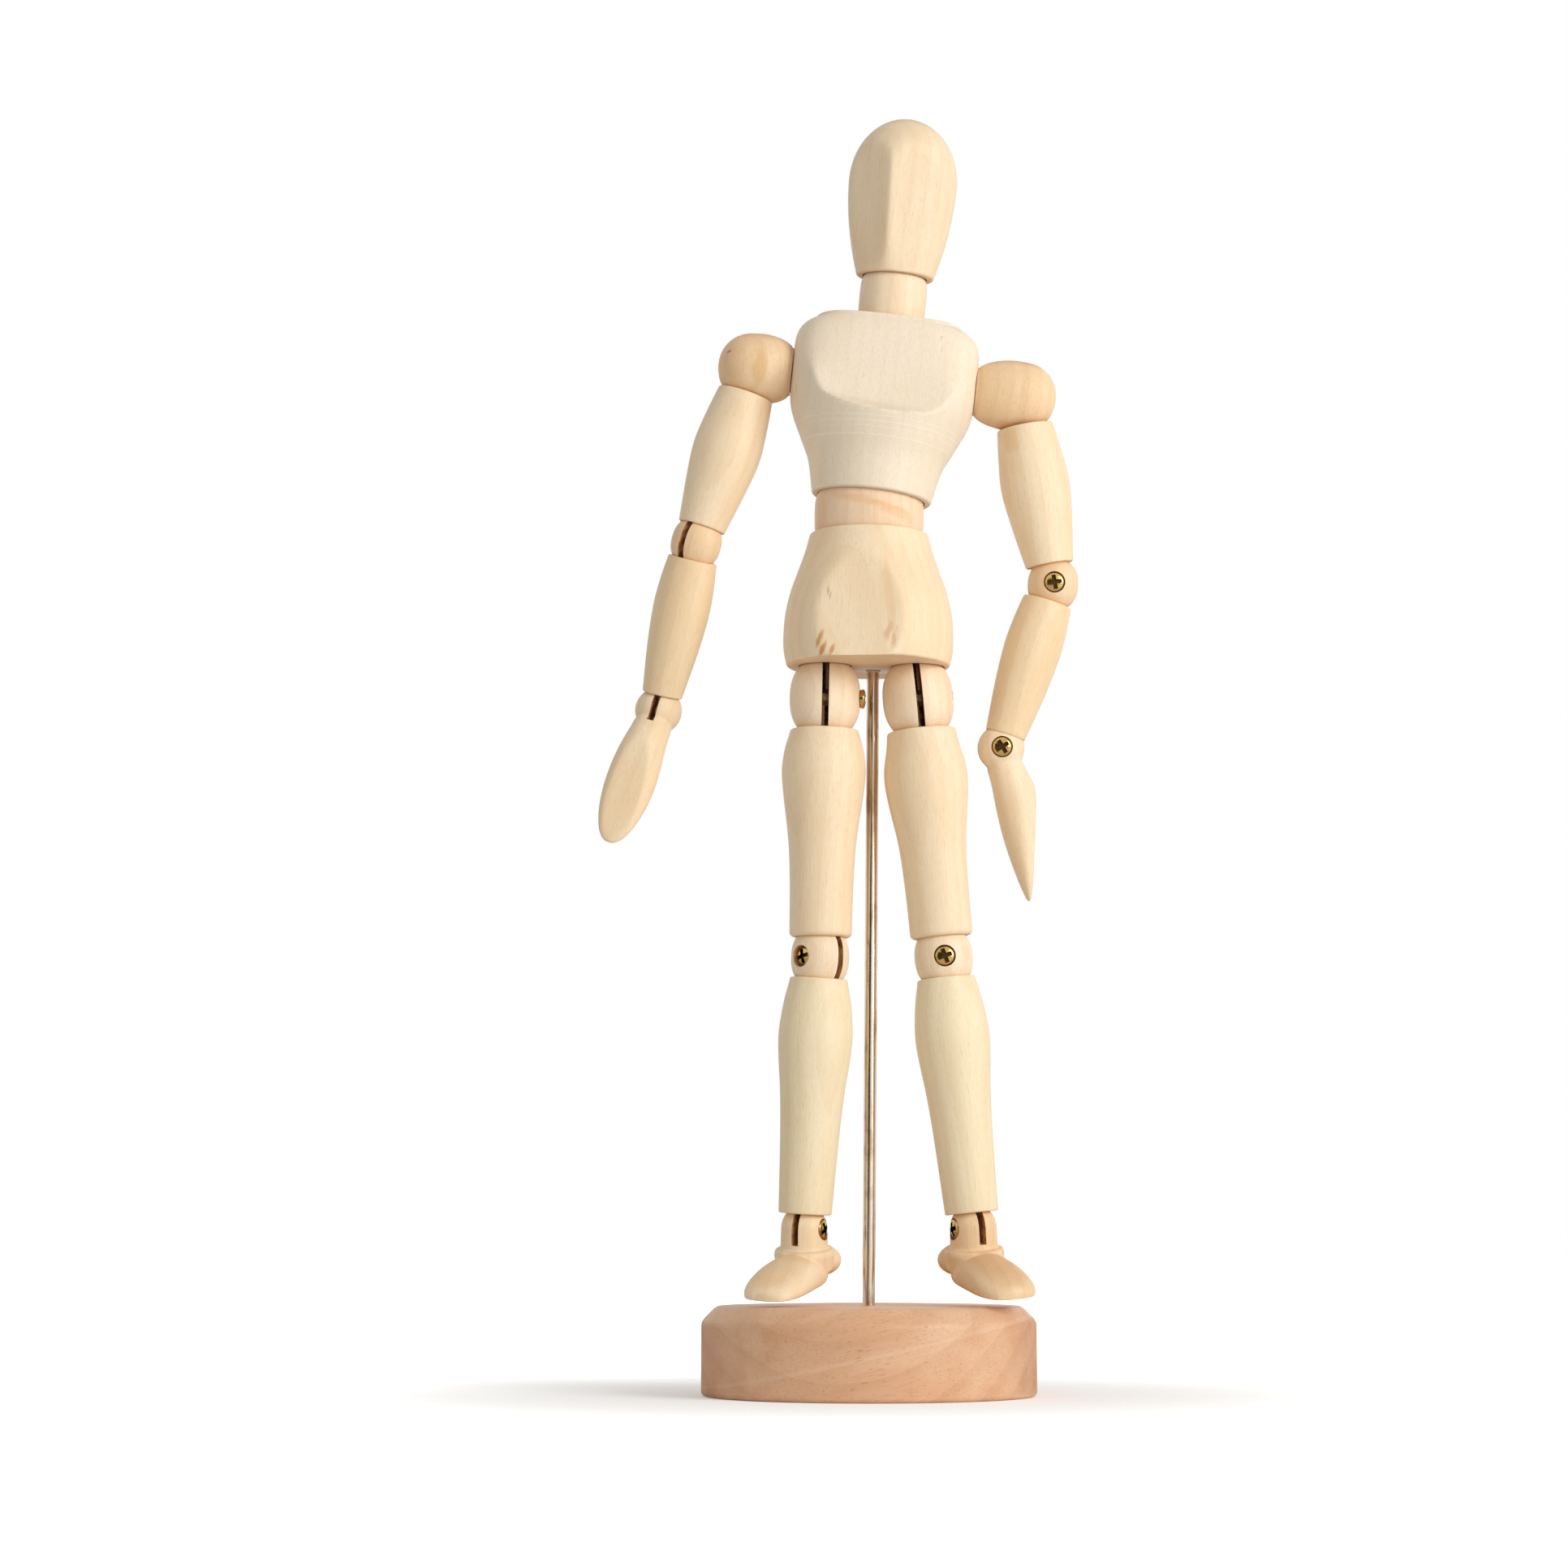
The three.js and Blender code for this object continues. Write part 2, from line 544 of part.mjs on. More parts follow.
// One wire through the chest: a coil in the middle and a straight end for each shoulder ball.
function makeShoulderSpring() {
  const { wire, halfLength } = SHOULDER_SPRING;
  const coil = solid(spring(SHOULDER_SPRING, -halfLength, halfLength));
  const from = halfLength - wire;
  let shape = coil;
  for (const { side, shoulderGap } of Object.values(POSE)) {
    const reach = CHEST_SIDE_FLAT + shoulderGap + SHOULDER_SPRING_GRIP;
    const end = bar(wire, side > 0 ? from : -reach, side > 0 ? reach : -from, WIRE_SIDES);
    const spoke = bar(wire, -wire, SHOULDER_SPRING.coil + wire / 2, WIRE_SIDES).rotateY(Math.PI / 2);
    shape = shape.add(solid(end)).add(solid(spoke.translate(0, 0, side * halfLength)));
  }
  return shape.rotate([0, 90, 0]);
}

function makeHand(screwPose) {
  const sections = HAND_SECTIONS.map(([share, ...section]) => [-HAND_LENGTH * share, ...section]);
  const palm = block([-FAR, -FAR, -FAR], [FAR, 0, FAR]).rotateX(PALM_ANGLE * DEGREE);
  palm.translate(0, -PALM_DEPTH, -PALM_BELOW_WRIST);
  return solid(lofted(sections, LIMB_SIDES))
    .subtract(solid(palm))
    .add(solid(barrel(WRIST, LIMB_SIDES)))
    .subtract(topSlot())
    .subtract(screwHole(WRIST, screwPose));
}

function makeFoot(screwPose) {
  const sole = -FOOT_SOLE_DROP;
  const sections = FOOT_SECTIONS.map(([share, halfWidth, halfHeight, middle]) => {
    const ahead = FOOT_LENGTH * share - FOOT_HEEL_LENGTH;
    return [ahead, halfWidth, halfHeight, sole + middle];
  });
  const shoe = lofted(sections, LIMB_SIDES).rotateX(Math.PI / 2);
  const ground = block([-FAR, -FAR, -FAR], [FAR, FAR, sole]);
  const collar = [
    [FOOT_COLLAR_RADIUS, sole / 2 - FOOT_COLLAR_DROP / 2],
    [FOOT_COLLAR_RADIUS, -FOOT_COLLAR_DROP - FOOT_COLLAR_EDGE],
    [FOOT_COLLAR_RADIUS - FOOT_COLLAR_EDGE, -FOOT_COLLAR_DROP],
  ];
  return solid(shoe)
    .subtract(solid(ground))
    .add(solid(turned(collar, LIMB_SIDES)))
    .add(solid(barrel(ANKLE, LIMB_SIDES)))
    .subtract(topSlot())
    .subtract(screwHole(ANKLE, screwPose));
}

const tabBeside = (TAB_THICKNESS + TAB_SPACING) / 2;

// A slotted ball between two pieces of wood, its screw and two tabs, and the group beyond it.
function ballJoint(parent, name, joint, place, pose) {
  const seat = pivot(parent, "", place, UPRIGHT, pose.facing);
  add(seat, `${name}_upper_tab`, tab(joint, tabBeside).rotateX(Math.PI), STEEL);
  const ball = pivot(seat, `${name}_upper_bend`, ORIGIN, FORWARD, pose.bend);
  add(ball, `${name}_ball`, slottedBall(joint, pose), PINK_WOOD);
  add(ball, `${name}_screw`, screw(joint, pose), BRASS);
  const lower = pivot(ball, `${name}_lower_bend`, ORIGIN, FORWARD, pose.bend);
  add(lower, `${name}_lower_tab`, tab(joint, -tabBeside), STEEL);
  return pivot(lower, `${name}_twist`, ORIGIN, UPRIGHT, -pose.facing);
}

// A hand or foot on the one tab that hangs from the limb above it, and the screw that holds it.
function endJoint(parent, name, piece, make, joint, length, pose) {
  const twist = pivot(parent, `${name}_twist`, [0, 0, -length], UPRIGHT, pose.facing);
  add(twist, `${name}_tab`, tab(joint, 0).rotateX(Math.PI), STEEL);
  const hinge = pivot(twist, `${name}_bend`, ORIGIN, FORWARD, pose.bend);
  add(hinge, `${name}_screw`, screw(joint, pose), BRASS);
  add(hinge, piece, make(pose), WOOD);
}

// A joint whose next wood lies farther off the ball, where the arm hangs slack.
const slack = (joint, gap) => ({ ...joint, face: joint.face + gap });

function makeArm(chest, name, pose) {
  const { side, hangs } = pose;
  const screwPose = { head: -1, proud: 0 };
  const place = [side * shoulderBeside(pose), 0, SHOULDER_ABOVE_WAIST];
  const turn = pivot(chest, `${name}_shoulder_turn`, place, FORWARD, pose.shoulderTurn);
  add(turn, `${name}_shoulder_ball`, makeShoulderBall(side, screwPose), PINK_WOOD);
  add(turn, `${name}_shoulder_screw`, screw(SHOULDER, screwPose).rotateZ(-Math.PI / 2), BRASS);
  const lift = pivot(turn, `${name}_shoulder_lift`, ORIGIN, SIDEWAYS, -side * pose.shoulderLift);
  add(lift, `${name}_shoulder_tab`, tab(SHOULDER, 0).rotateZ(Math.PI / 2), STEEL);
  const upperArm = pivot(lift, `${name}_shoulder_twist`, ORIGIN, UPRIGHT, 0);
  const upperLength = UPPER_ARM_LENGTH + hangs.elbow;
  const upperTop = slack(SHOULDER, hangs.upperArm);
  const upperEnd = slack(ELBOW, hangs.elbow - hangs.upperArm);
  add(upperArm, `${name}_upper_arm`, limb(UPPER_ARM_RADII, upperLength, upperTop, upperEnd), WOOD);
  const forearm = ballJoint(upperArm, `${name}_elbow`, ELBOW, [0, 0, -upperLength], pose.elbow);
  const lowerLength = FOREARM_LENGTH + hangs.wrist - hangs.elbow;
  const lowerTop = slack(ELBOW, hangs.forearm - hangs.elbow);
  const lowerEnd = slack(WRIST, hangs.wrist - hangs.forearm);
  add(forearm, `${name}_forearm`, limb(FOREARM_RADII, lowerLength, lowerTop, lowerEnd), WOOD);
  endJoint(forearm, `${name}_wrist`, `${name}_hand`, makeHand, WRIST, lowerLength, pose.wrist);
}

function makeLeg(pelvis, name, pose) {
  const { side } = pose;
  const splay = pivot(pelvis, "", hipPlace(side), SIDEWAYS, -side * pose.hipSplay);
  const thigh = ballJoint(splay, `${name}_hip`, HIP, ORIGIN, pose.hip);
  add(thigh, `${name}_thigh`, limb(THIGH_RADII, THIGH_LENGTH, HIP, KNEE), WOOD);
  const shin = ballJoint(thigh, `${name}_knee`, KNEE, [0, 0, -THIGH_LENGTH], pose.knee);
  add(shin, `${name}_shin`, limb(SHIN_RADII, SHIN_LENGTH, KNEE, ANKLE), WOOD);
  endJoint(shin, `${name}_ankle`, `${name}_foot`, makeFoot, ANKLE, SHIN_LENGTH, pose.ankle);
}

const mannequin = new THREE.Group();
add(mannequin, "base", makeBase(), BASE_WOOD);

// How far the toes reach below the ankle with the feet pitched down as photographed.
const toePitch = -POSE.right.ankle.bend * DEGREE;
const toeReach = FOOT_LENGTH - FOOT_HEEL_LENGTH;
const toeDrop = FOOT_SOLE_DROP * Math.cos(toePitch) + toeReach * Math.sin(toePitch);
const hipAboveBase = TOE_GAP_OVER_BASE + toeDrop + SHIN_LENGTH + THIGH_LENGTH;
const waistAboveBase = hipAboveBase + hipBelowWaist;

const standing = pivot(mannequin, "rod_turn", [0, 0, BASE_HEIGHT], SIDEWAYS, ROD_LEAN);
add(standing, "support_rod", solid(bar(ROD_RADIUS, -ROD_SEAT_DEPTH, waistAboveBase + rodTop)), STEEL);

const waistPlace = [-ROD_BESIDE_PELVIS_AXIS, -ROD_BEHIND_PELVIS_AXIS, waistAboveBase];
const pelvis = pivot(standing, "pelvis_lift", waistPlace, UPRIGHT, 0);
add(pelvis, "pelvis", makePelvis(), WOOD);
const torsoTurn = pivot(pelvis, "torso_turn", ORIGIN, UPRIGHT, 0);
const torsoCoil = spring(TORSO_SPRING, -TORSO_SPRING.below, TORSO_SPRING.above);
add(torsoTurn, "torso_spring", solid(torsoCoil), STEEL);
const torsoBend = pivot(torsoTurn, "torso_bend", ORIGIN, FORWARD, 0);
add(torsoBend, "waist", rockingBall(WAIST, WAIST_HALF_LENGTH, TORSO_SPRING, WAIST_SWING), PINK_WOOD);
const chest = pivot(torsoBend, "torso_lean", ORIGIN, SIDEWAYS, CHEST_LEAN);
add(chest, "chest", makeChest(), CHEST_WOOD);
add(chest, "shoulder_spring", makeShoulderSpring().translate([0, 0, SHOULDER_ABOVE_WAIST]), STEEL);

const headTurn = pivot(chest, "head_turn", [0, 0, neckAboveWaist], UPRIGHT, HEAD_TURN);
const neckCoil = spring(NECK_SPRING, -NECK_SPRING.below, NECK_SPRING.above);
add(headTurn, "neck_spring", solid(neckCoil), STEEL);
const headNod = pivot(headTurn, "head_nod", ORIGIN, FORWARD, HEAD_NOD);
add(headNod, "neck", rockingBall(NECK, NECK_HALF_LENGTH, NECK_SPRING, NECK_SWING), PINK_WOOD);
const headTilt = pivot(headNod, "head_tilt", ORIGIN, SIDEWAYS, HEAD_TILT);
add(headTilt, "head", makeHead(), WOOD);

for (const [name, pose] of Object.entries(POSE)) {
  makeArm(chest, name, pose);
  makeLeg(pelvis, name, pose);
}

export default mannequin;
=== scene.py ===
"""The looks of a jointed wooden artist's mannequin on a round base.

Each piece is shaped in millimetres, in the axes of its own joint, and then set in place in metres.
A turned piece has its grain along Z, and the figure faces -Y, so its own right side is at -X.
"""

import json
import logging
import math
from dataclasses import dataclass, field, replace
from enum import Enum
from typing import Callable, Iterable, Sequence, Union

import bmesh
import bpy
from bpy.types import Material, Node, NodeSocket, Object
from mathutils import Matrix, Vector

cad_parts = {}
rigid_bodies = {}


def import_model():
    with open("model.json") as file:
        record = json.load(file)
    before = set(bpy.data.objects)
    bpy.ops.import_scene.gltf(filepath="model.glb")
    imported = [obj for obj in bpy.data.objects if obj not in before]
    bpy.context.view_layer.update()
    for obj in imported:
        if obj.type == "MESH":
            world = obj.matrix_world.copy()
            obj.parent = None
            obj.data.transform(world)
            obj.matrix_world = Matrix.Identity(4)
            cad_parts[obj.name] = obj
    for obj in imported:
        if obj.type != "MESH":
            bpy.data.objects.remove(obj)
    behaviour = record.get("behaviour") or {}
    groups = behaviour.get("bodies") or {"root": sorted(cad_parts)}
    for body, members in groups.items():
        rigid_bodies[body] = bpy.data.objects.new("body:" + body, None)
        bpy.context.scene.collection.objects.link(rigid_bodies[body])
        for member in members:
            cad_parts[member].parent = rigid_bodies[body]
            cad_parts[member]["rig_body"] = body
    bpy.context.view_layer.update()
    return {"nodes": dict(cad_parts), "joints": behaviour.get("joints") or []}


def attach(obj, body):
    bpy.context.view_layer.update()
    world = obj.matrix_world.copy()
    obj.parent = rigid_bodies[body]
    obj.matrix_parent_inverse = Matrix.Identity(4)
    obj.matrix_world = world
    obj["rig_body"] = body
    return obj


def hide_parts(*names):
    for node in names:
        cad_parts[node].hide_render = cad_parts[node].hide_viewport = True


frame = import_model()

log = logging.getLogger("mannequin")

Point = tuple[float, float]
Triple = tuple[float, float, float]
Wire = Union[NodeSocket, float, Triple]

MM = 0.001
FAR = 60.0
WELD = 0.0005
JOINTS = {joint["name"]: joint for joint in frame["joints"]}


class Side(Enum):
    """The figure's own sides, by the sign of X."""

    RIGHT = -1
    LEFT = 1

    @property
    def word(self) -> str:
        """The side's name as the nodes spell it."""
        return self.name.lower()


class Face(Enum):
    """Which finish a face of a piece takes."""

    SURFACE = 0
    # Sawn and drilled wood faces; on a screw, the faces of its cross recess, which take a darker brass as
    # painted shade.
    SAWN = 1


def srgb(red: int, green: int, blue: int) -> Triple:
    """Turns a colour as seen on a screen into the linear values that a shader takes.

    Args:
        red: Red from 0 to 255.
        green: Green from 0 to 255.
        blue: Blue from 0 to 255.

    Returns:
        The linear red, green and blue.
    """

    def linear(channel: int) -> float:
        """One channel, from 0 to 1."""
        share = channel / 255
        return share / 12.92 if share <= 0.04045 else ((share + 0.055) / 1.055) ** 2.4

    return (linear(red), linear(green), linear(blue))


def lesser(first: float, second: float, rounding: float) -> float:
    """The smaller of two sizes, with the corner between them rounded off."""
    return (first + second - math.hypot(first - second, 2 * rounding)) / 2


def eased(stations: Sequence[Point], place: float) -> float:
    """Reads a smooth curve that passes through a few stations.

    Args:
        stations: Pairs of place and size, in order of place.
        place: Where to read the curve.

    Returns:
        The size there.
    """

    def slope(index: int) -> float:
        """The curve's slope at one station, from its neighbours."""
        low, high = max(index - 1, 0), min(index + 1, len(stations) - 1)
        return (stations[high][1] - stations[low][1]) / (stations[high][0] - stations[low][0])

    after = next((n for n, (at, _) in enumerate(stations) if at > place), len(stations) - 1)
    before = max(after - 1, 0)
    (start, first), (end, last) = stations[before], stations[after]
    span = end - start
    t = (place - start) / span
    rise = first * (1 + 2 * t) * (1 - t) ** 2 + last * t * t * (3 - 2 * t)
    return rise + span * t * (1 - t) * (slope(before) * (1 - t) - slope(after) * t)


def arc(radius: float, start: float, end: float, steps: int, middle: Point = (0, 0)) -> list[Point]:
    """Points along a round stretch of an outline.

    Args:
        radius: The arc's radius.
        start: First angle in degrees, from the outward direction towards up.
        end: Last angle in degrees.
        steps: How many stretches the arc has.
        middle: The arc's centre as radius and height.

    Returns:
        The points as pairs of radius and height.
    """
    angles = [math.radians(start + (end - start) * step / steps) for step in range(steps + 1)]
    return [(middle[0] + radius * math.cos(a), middle[1] + radius * math.sin(a)) for a in angles]


def joint_point(name: str) -> Vector:
    """The place of a joint at rest, in metres."""
    return Vector(JOINTS[name]["pos_m"])


def joint_axis(name: str) -> Vector:
    """The direction of a joint's axis at rest."""
    return Vector(JOINTS[name]["axis"]).normalized()


@dataclass(frozen=True)
class Seat:
    """Where a piece sits: its origin in metres and the directions of its X and Z axes."""

    origin: Vector
    x: Vector
    z: Vector

    @property
    def turn(self) -> Matrix:
        """The turn from the piece's axes to the frame's.

        Returns:
            The turn as a 3 by 3 matrix.
        """
        upright = self.z.normalized()
        across = (self.x - upright * self.x.dot(upright)).normalized()
        return Matrix((across, upright.cross(across), upright)).transposed()

    @property
    def matrix(self) -> Matrix:
        """The whole way from millimetres in the piece's axes to metres in the frame."""
        return Matrix.Translation(self.origin) @ self.turn.to_4x4() @ Matrix.Scale(MM, 4)

    def turned(self, axis: Triple, degrees: float) -> "Seat":
        """The same place, turned about one of the piece's own axes.

        Args:
            axis: The axis in the piece's own frame.
            degrees: How far it turns.

        Returns:
            The turned seat.
        """
        own = self.turn @ Matrix.Rotation(math.radians(degrees), 3, Vector(axis))
        return Seat(self.origin, own.col[0].copy(), own.col[2].copy())


class Blank:
    """A piece of stock on the bench, in millimetres, with the tools that shape it."""

    def __init__(self) -> None:
        """Starts with nothing on the bench."""
        self.mesh = bmesh.new()

    def turn(self, outline: Sequence[Point], steps: int) -> "Blank":
        """Turns an outline about Z, as on a lathe.

        Args:
            outline: Pairs of radius and height that start and end on the axis.
            steps: How many sides the turned shape has.

        Returns:
            This blank.
        """
        verts = [self.mesh.verts.new((radius, 0, height)) for radius, height in outline]
        edges = [self.mesh.edges.new(pair) for pair in zip(verts, verts[1:])]
        bmesh.ops.spin(
            self.mesh,
            geom=verts + edges,
            cent=(0, 0, 0),
            axis=(0, 0, 1),
            angle=math.tau,
            steps=steps,
            use_merge=True,
        )
        return self.weld()

    def weld(self) -> "Blank":
        """Merges doubled points and points every face outwards.

        Returns:
            This blank.
        """
        bmesh.ops.remove_doubles(self.mesh, verts=self.mesh.verts, dist=WELD)
        bmesh.ops.recalc_face_normals(self.mesh, faces=self.mesh.faces)
        return self

    def block(self, low: Triple, high: Triple) -> "Blank":
        """Adds a straight-sided block between two corners.

        Args:
            low: The corner with the least coordinates.
            high: The corner across from it.

        Returns:
            This blank.
        """
        sides = Vector(high) - Vector(low)
        place = Matrix.Translation((Vector(low) + Vector(high)) / 2) @ Matrix.Diagonal(sides).to_4x4()
        bmesh.ops.create_cube(self.mesh, size=1, matrix=place)
        return self

    def ball(self, reach: Triple, place: Triple, steps: int) -> "Blank":
        """Adds a ball that is stretched along its axes.

        Args:
            reach: Its half lengths along X, Y and Z.
            place: Its centre.
            steps: How many sides it has.

        Returns:
            This blank.
        """
        matrix = Matrix.Translation(place) @ Matrix.Diagonal(reach).to_4x4()
        bmesh.ops.create_uvsphere(self.mesh, u_segments=steps, v_segments=steps // 2, radius=1, matrix=matrix)
        return self

    def loft(self, rings: Sequence[Matrix], sides: int) -> "Blank":
        """Strings a skin over unit circles that are placed along a path.

        Args:
            rings: The matrix that sizes and places each circle.
            sides: How many points a circle has.

        Returns:
            This blank.
        """
        last: list = []
        for matrix in rings:
            ring = bmesh.ops.create_circle(self.mesh, segments=sides, radius=1, matrix=matrix)["verts"]
            edges = list({edge for vert in ring for edge in vert.link_edges if edge.other_vert(vert) in ring})
            if last:
                bmesh.ops.bridge_loops(self.mesh, edges=last + edges)
            last = edges
        ends = [edge for edge in self.mesh.edges if edge.is_boundary]
        bmesh.ops.holes_fill(self.mesh, edges=ends, sides=0)
        return self.weld()

    def move(self, matrix: Matrix) -> "Blank":
        """Moves or turns the whole shape."""
        bmesh.ops.transform(self.mesh, matrix=matrix, verts=self.mesh.verts)
        return self

    def sand(self, point: Triple, normal: Triple, along: Triple, rounding: float) -> "Blank":
        """Sands a flat on the shape and rounds its edges.

        Args:
            point: A point on the flat.
            normal: The way that the flat faces.
            along: The way that the wood is pressed in, out of the shape.
            rounding: How soft the flat's edges are.

        Returns:
            This blank.
        """
        facing, press = Vector(normal).normalized(), Vector(along).normalized()
        for vert in self.mesh.verts:
            proud = (vert.co - Vector(point)).dot(facing)
            vert.co -= press * ((proud - lesser(proud, 0, rounding)) / press.dot(facing))
        return self

    def mill(self, depths: Sequence[Point], softness: Sequence[Point], slant: float) -> "Blank":
        """Mills the front to a depth that changes with the height.

        Args:
            depths: Pairs of height and how far the front lies ahead of the axis.
            softness: Pairs of height and how far the cut's edges are rounded.
            slant: How much lower the cut runs for each millimetre towards +X.

        Returns:
            This blank.
        """
        low, high = depths[0][0], depths[-1][0]
        for vert in self.mesh.verts:
            height = min(max(vert.co.z + slant * vert.co.x, low), high)
            vert.co.y = -lesser(-vert.co.y, eased(depths, height), eased(softness, height))
        return self

    def paint(self, face: Face) -> "Blank":
        """Gives every face one kind of finish.

        Args:
            face: The kind of finish.

        Returns:
            This blank.
        """
        for each in self.mesh.faces:
            each.material_index = face.value
        return self

    def cut(self, *tools: "Blank") -> "Blank":
        """Cuts other shapes out of this one."""
        return self._combine("DIFFERENCE", tools)

    def join(self, *others: "Blank") -> "Blank":
        """Joins other shapes to this one."""
        return self._combine("UNION", others)

    def blur(self, grid: float, rounds: int) -> "Blank":
        """Runs joined shapes into one another, as carving and sanding do.

        Args:
            grid: The spacing of the new surface.
            rounds: How often it is smoothed.

        Returns:
            This blank.
        """

        def soften(stock: Object) -> None:
            """Adds the new surface and its smoothing.

            Args:
                stock: The loose object.
            """
            skin = stock.modifiers.new("skin", "REMESH")
            skin.mode = "VOXEL"
            skin.voxel_size = grid
            sanding = stock.modifiers.new("sanding", "SMOOTH")
            sanding.factor = 0.5
            sanding.iterations = rounds

        return self._apply(soften)

    def refine(self, levels: int) -> "Blank":
        """Makes a coarse shape round by subdivision.

        Args:
            levels: How often each face is divided.

        Returns:
            This blank.
        """

        def divide(stock: Object) -> None:
            """Adds the subdivision."""
            finer = stock.modifiers.new("finer", "SUBSURF")
            finer.levels = finer.render_levels = levels

        return self._apply(divide)

    def _combine(self, operation: str, others: Iterable["Blank"]) -> "Blank":
        """Joins or cuts with other shapes, which are used up.

        Args:
            operation: What is done with them.
            others: The other shapes.

        Returns:
            This blank.
        """
        tools = [other.loose("tool") for other in others]

        def boolean(stock: Object) -> None:
            """Adds one step for each tool.

            Args:
                stock: The loose object.
            """
            for tool in tools:
                step = stock.modifiers.new("step", "BOOLEAN")
                step.operation = operation
                step.solver = "EXACT"
                step.object = tool

        self._apply(boolean)
        for tool in tools:
            bpy.data.meshes.remove(tool.data)
        return self

    def _apply(self, prepare: Callable[[Object], None]) -> "Blank":
        """Takes the shape through modifiers and back.

        Args:
            prepare: Adds the modifiers to the loose object.

        Returns:
            This blank.
        """
        stock = self.loose("stock")
        prepare(stock)
        graph = bpy.context.evaluated_depsgraph_get()
        shaped = stock.evaluated_get(graph)
        self.mesh = bmesh.new()
        self.mesh.from_mesh(shaped.to_mesh())
        shaped.to_mesh_clear()
        bpy.data.meshes.remove(stock.data)
        return self

    def loose(self, name: str) -> Object:
        """Takes the shape off the bench as an object of its own.

        Args:
            name: The object's name.

        Returns:
            The object, with an empty material slot for each kind of face.
        """
        data = bpy.data.meshes.new(name)
        self.mesh.to_mesh(data)
        self.mesh.free()
        for _ in Face:
            data.materials.append(None)
        thing = bpy.data.objects.new(name, data)
        bpy.context.scene.collection.objects.link(thing)
        return thing

    def fit(
        self, node: str, seat: Seat, slot: str, finishes: Sequence[Material], crease: float = 32
    ) -> Object:
        """Sets the finished piece in place of its node.

        Args:
            node: The node that the piece stands for.
            seat: Where it sits.
            slot: The record's material slot; not used.
            finishes: A material for the surface and one for sawn faces; on a screw the second is a darker
                brass in its cross recess, as painted shade.
            crease: The angle from which an edge stays sharp, in degrees.

        Returns:
            The piece.
        """
        self.move(seat.matrix)
        piece = self.loose(f"{node}.finished")
        for index, finish in enumerate(finishes):
            piece.data.materials[index] = finish
        piece.data.shade_smooth()
        piece.data.set_sharp_from_angle(angle=math.radians(crease))
        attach(piece, frame["nodes"][node]["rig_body"])
        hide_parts(node)
        log.info("%s: %d faces", piece.name, len(piece.data.polygons))
        return piece


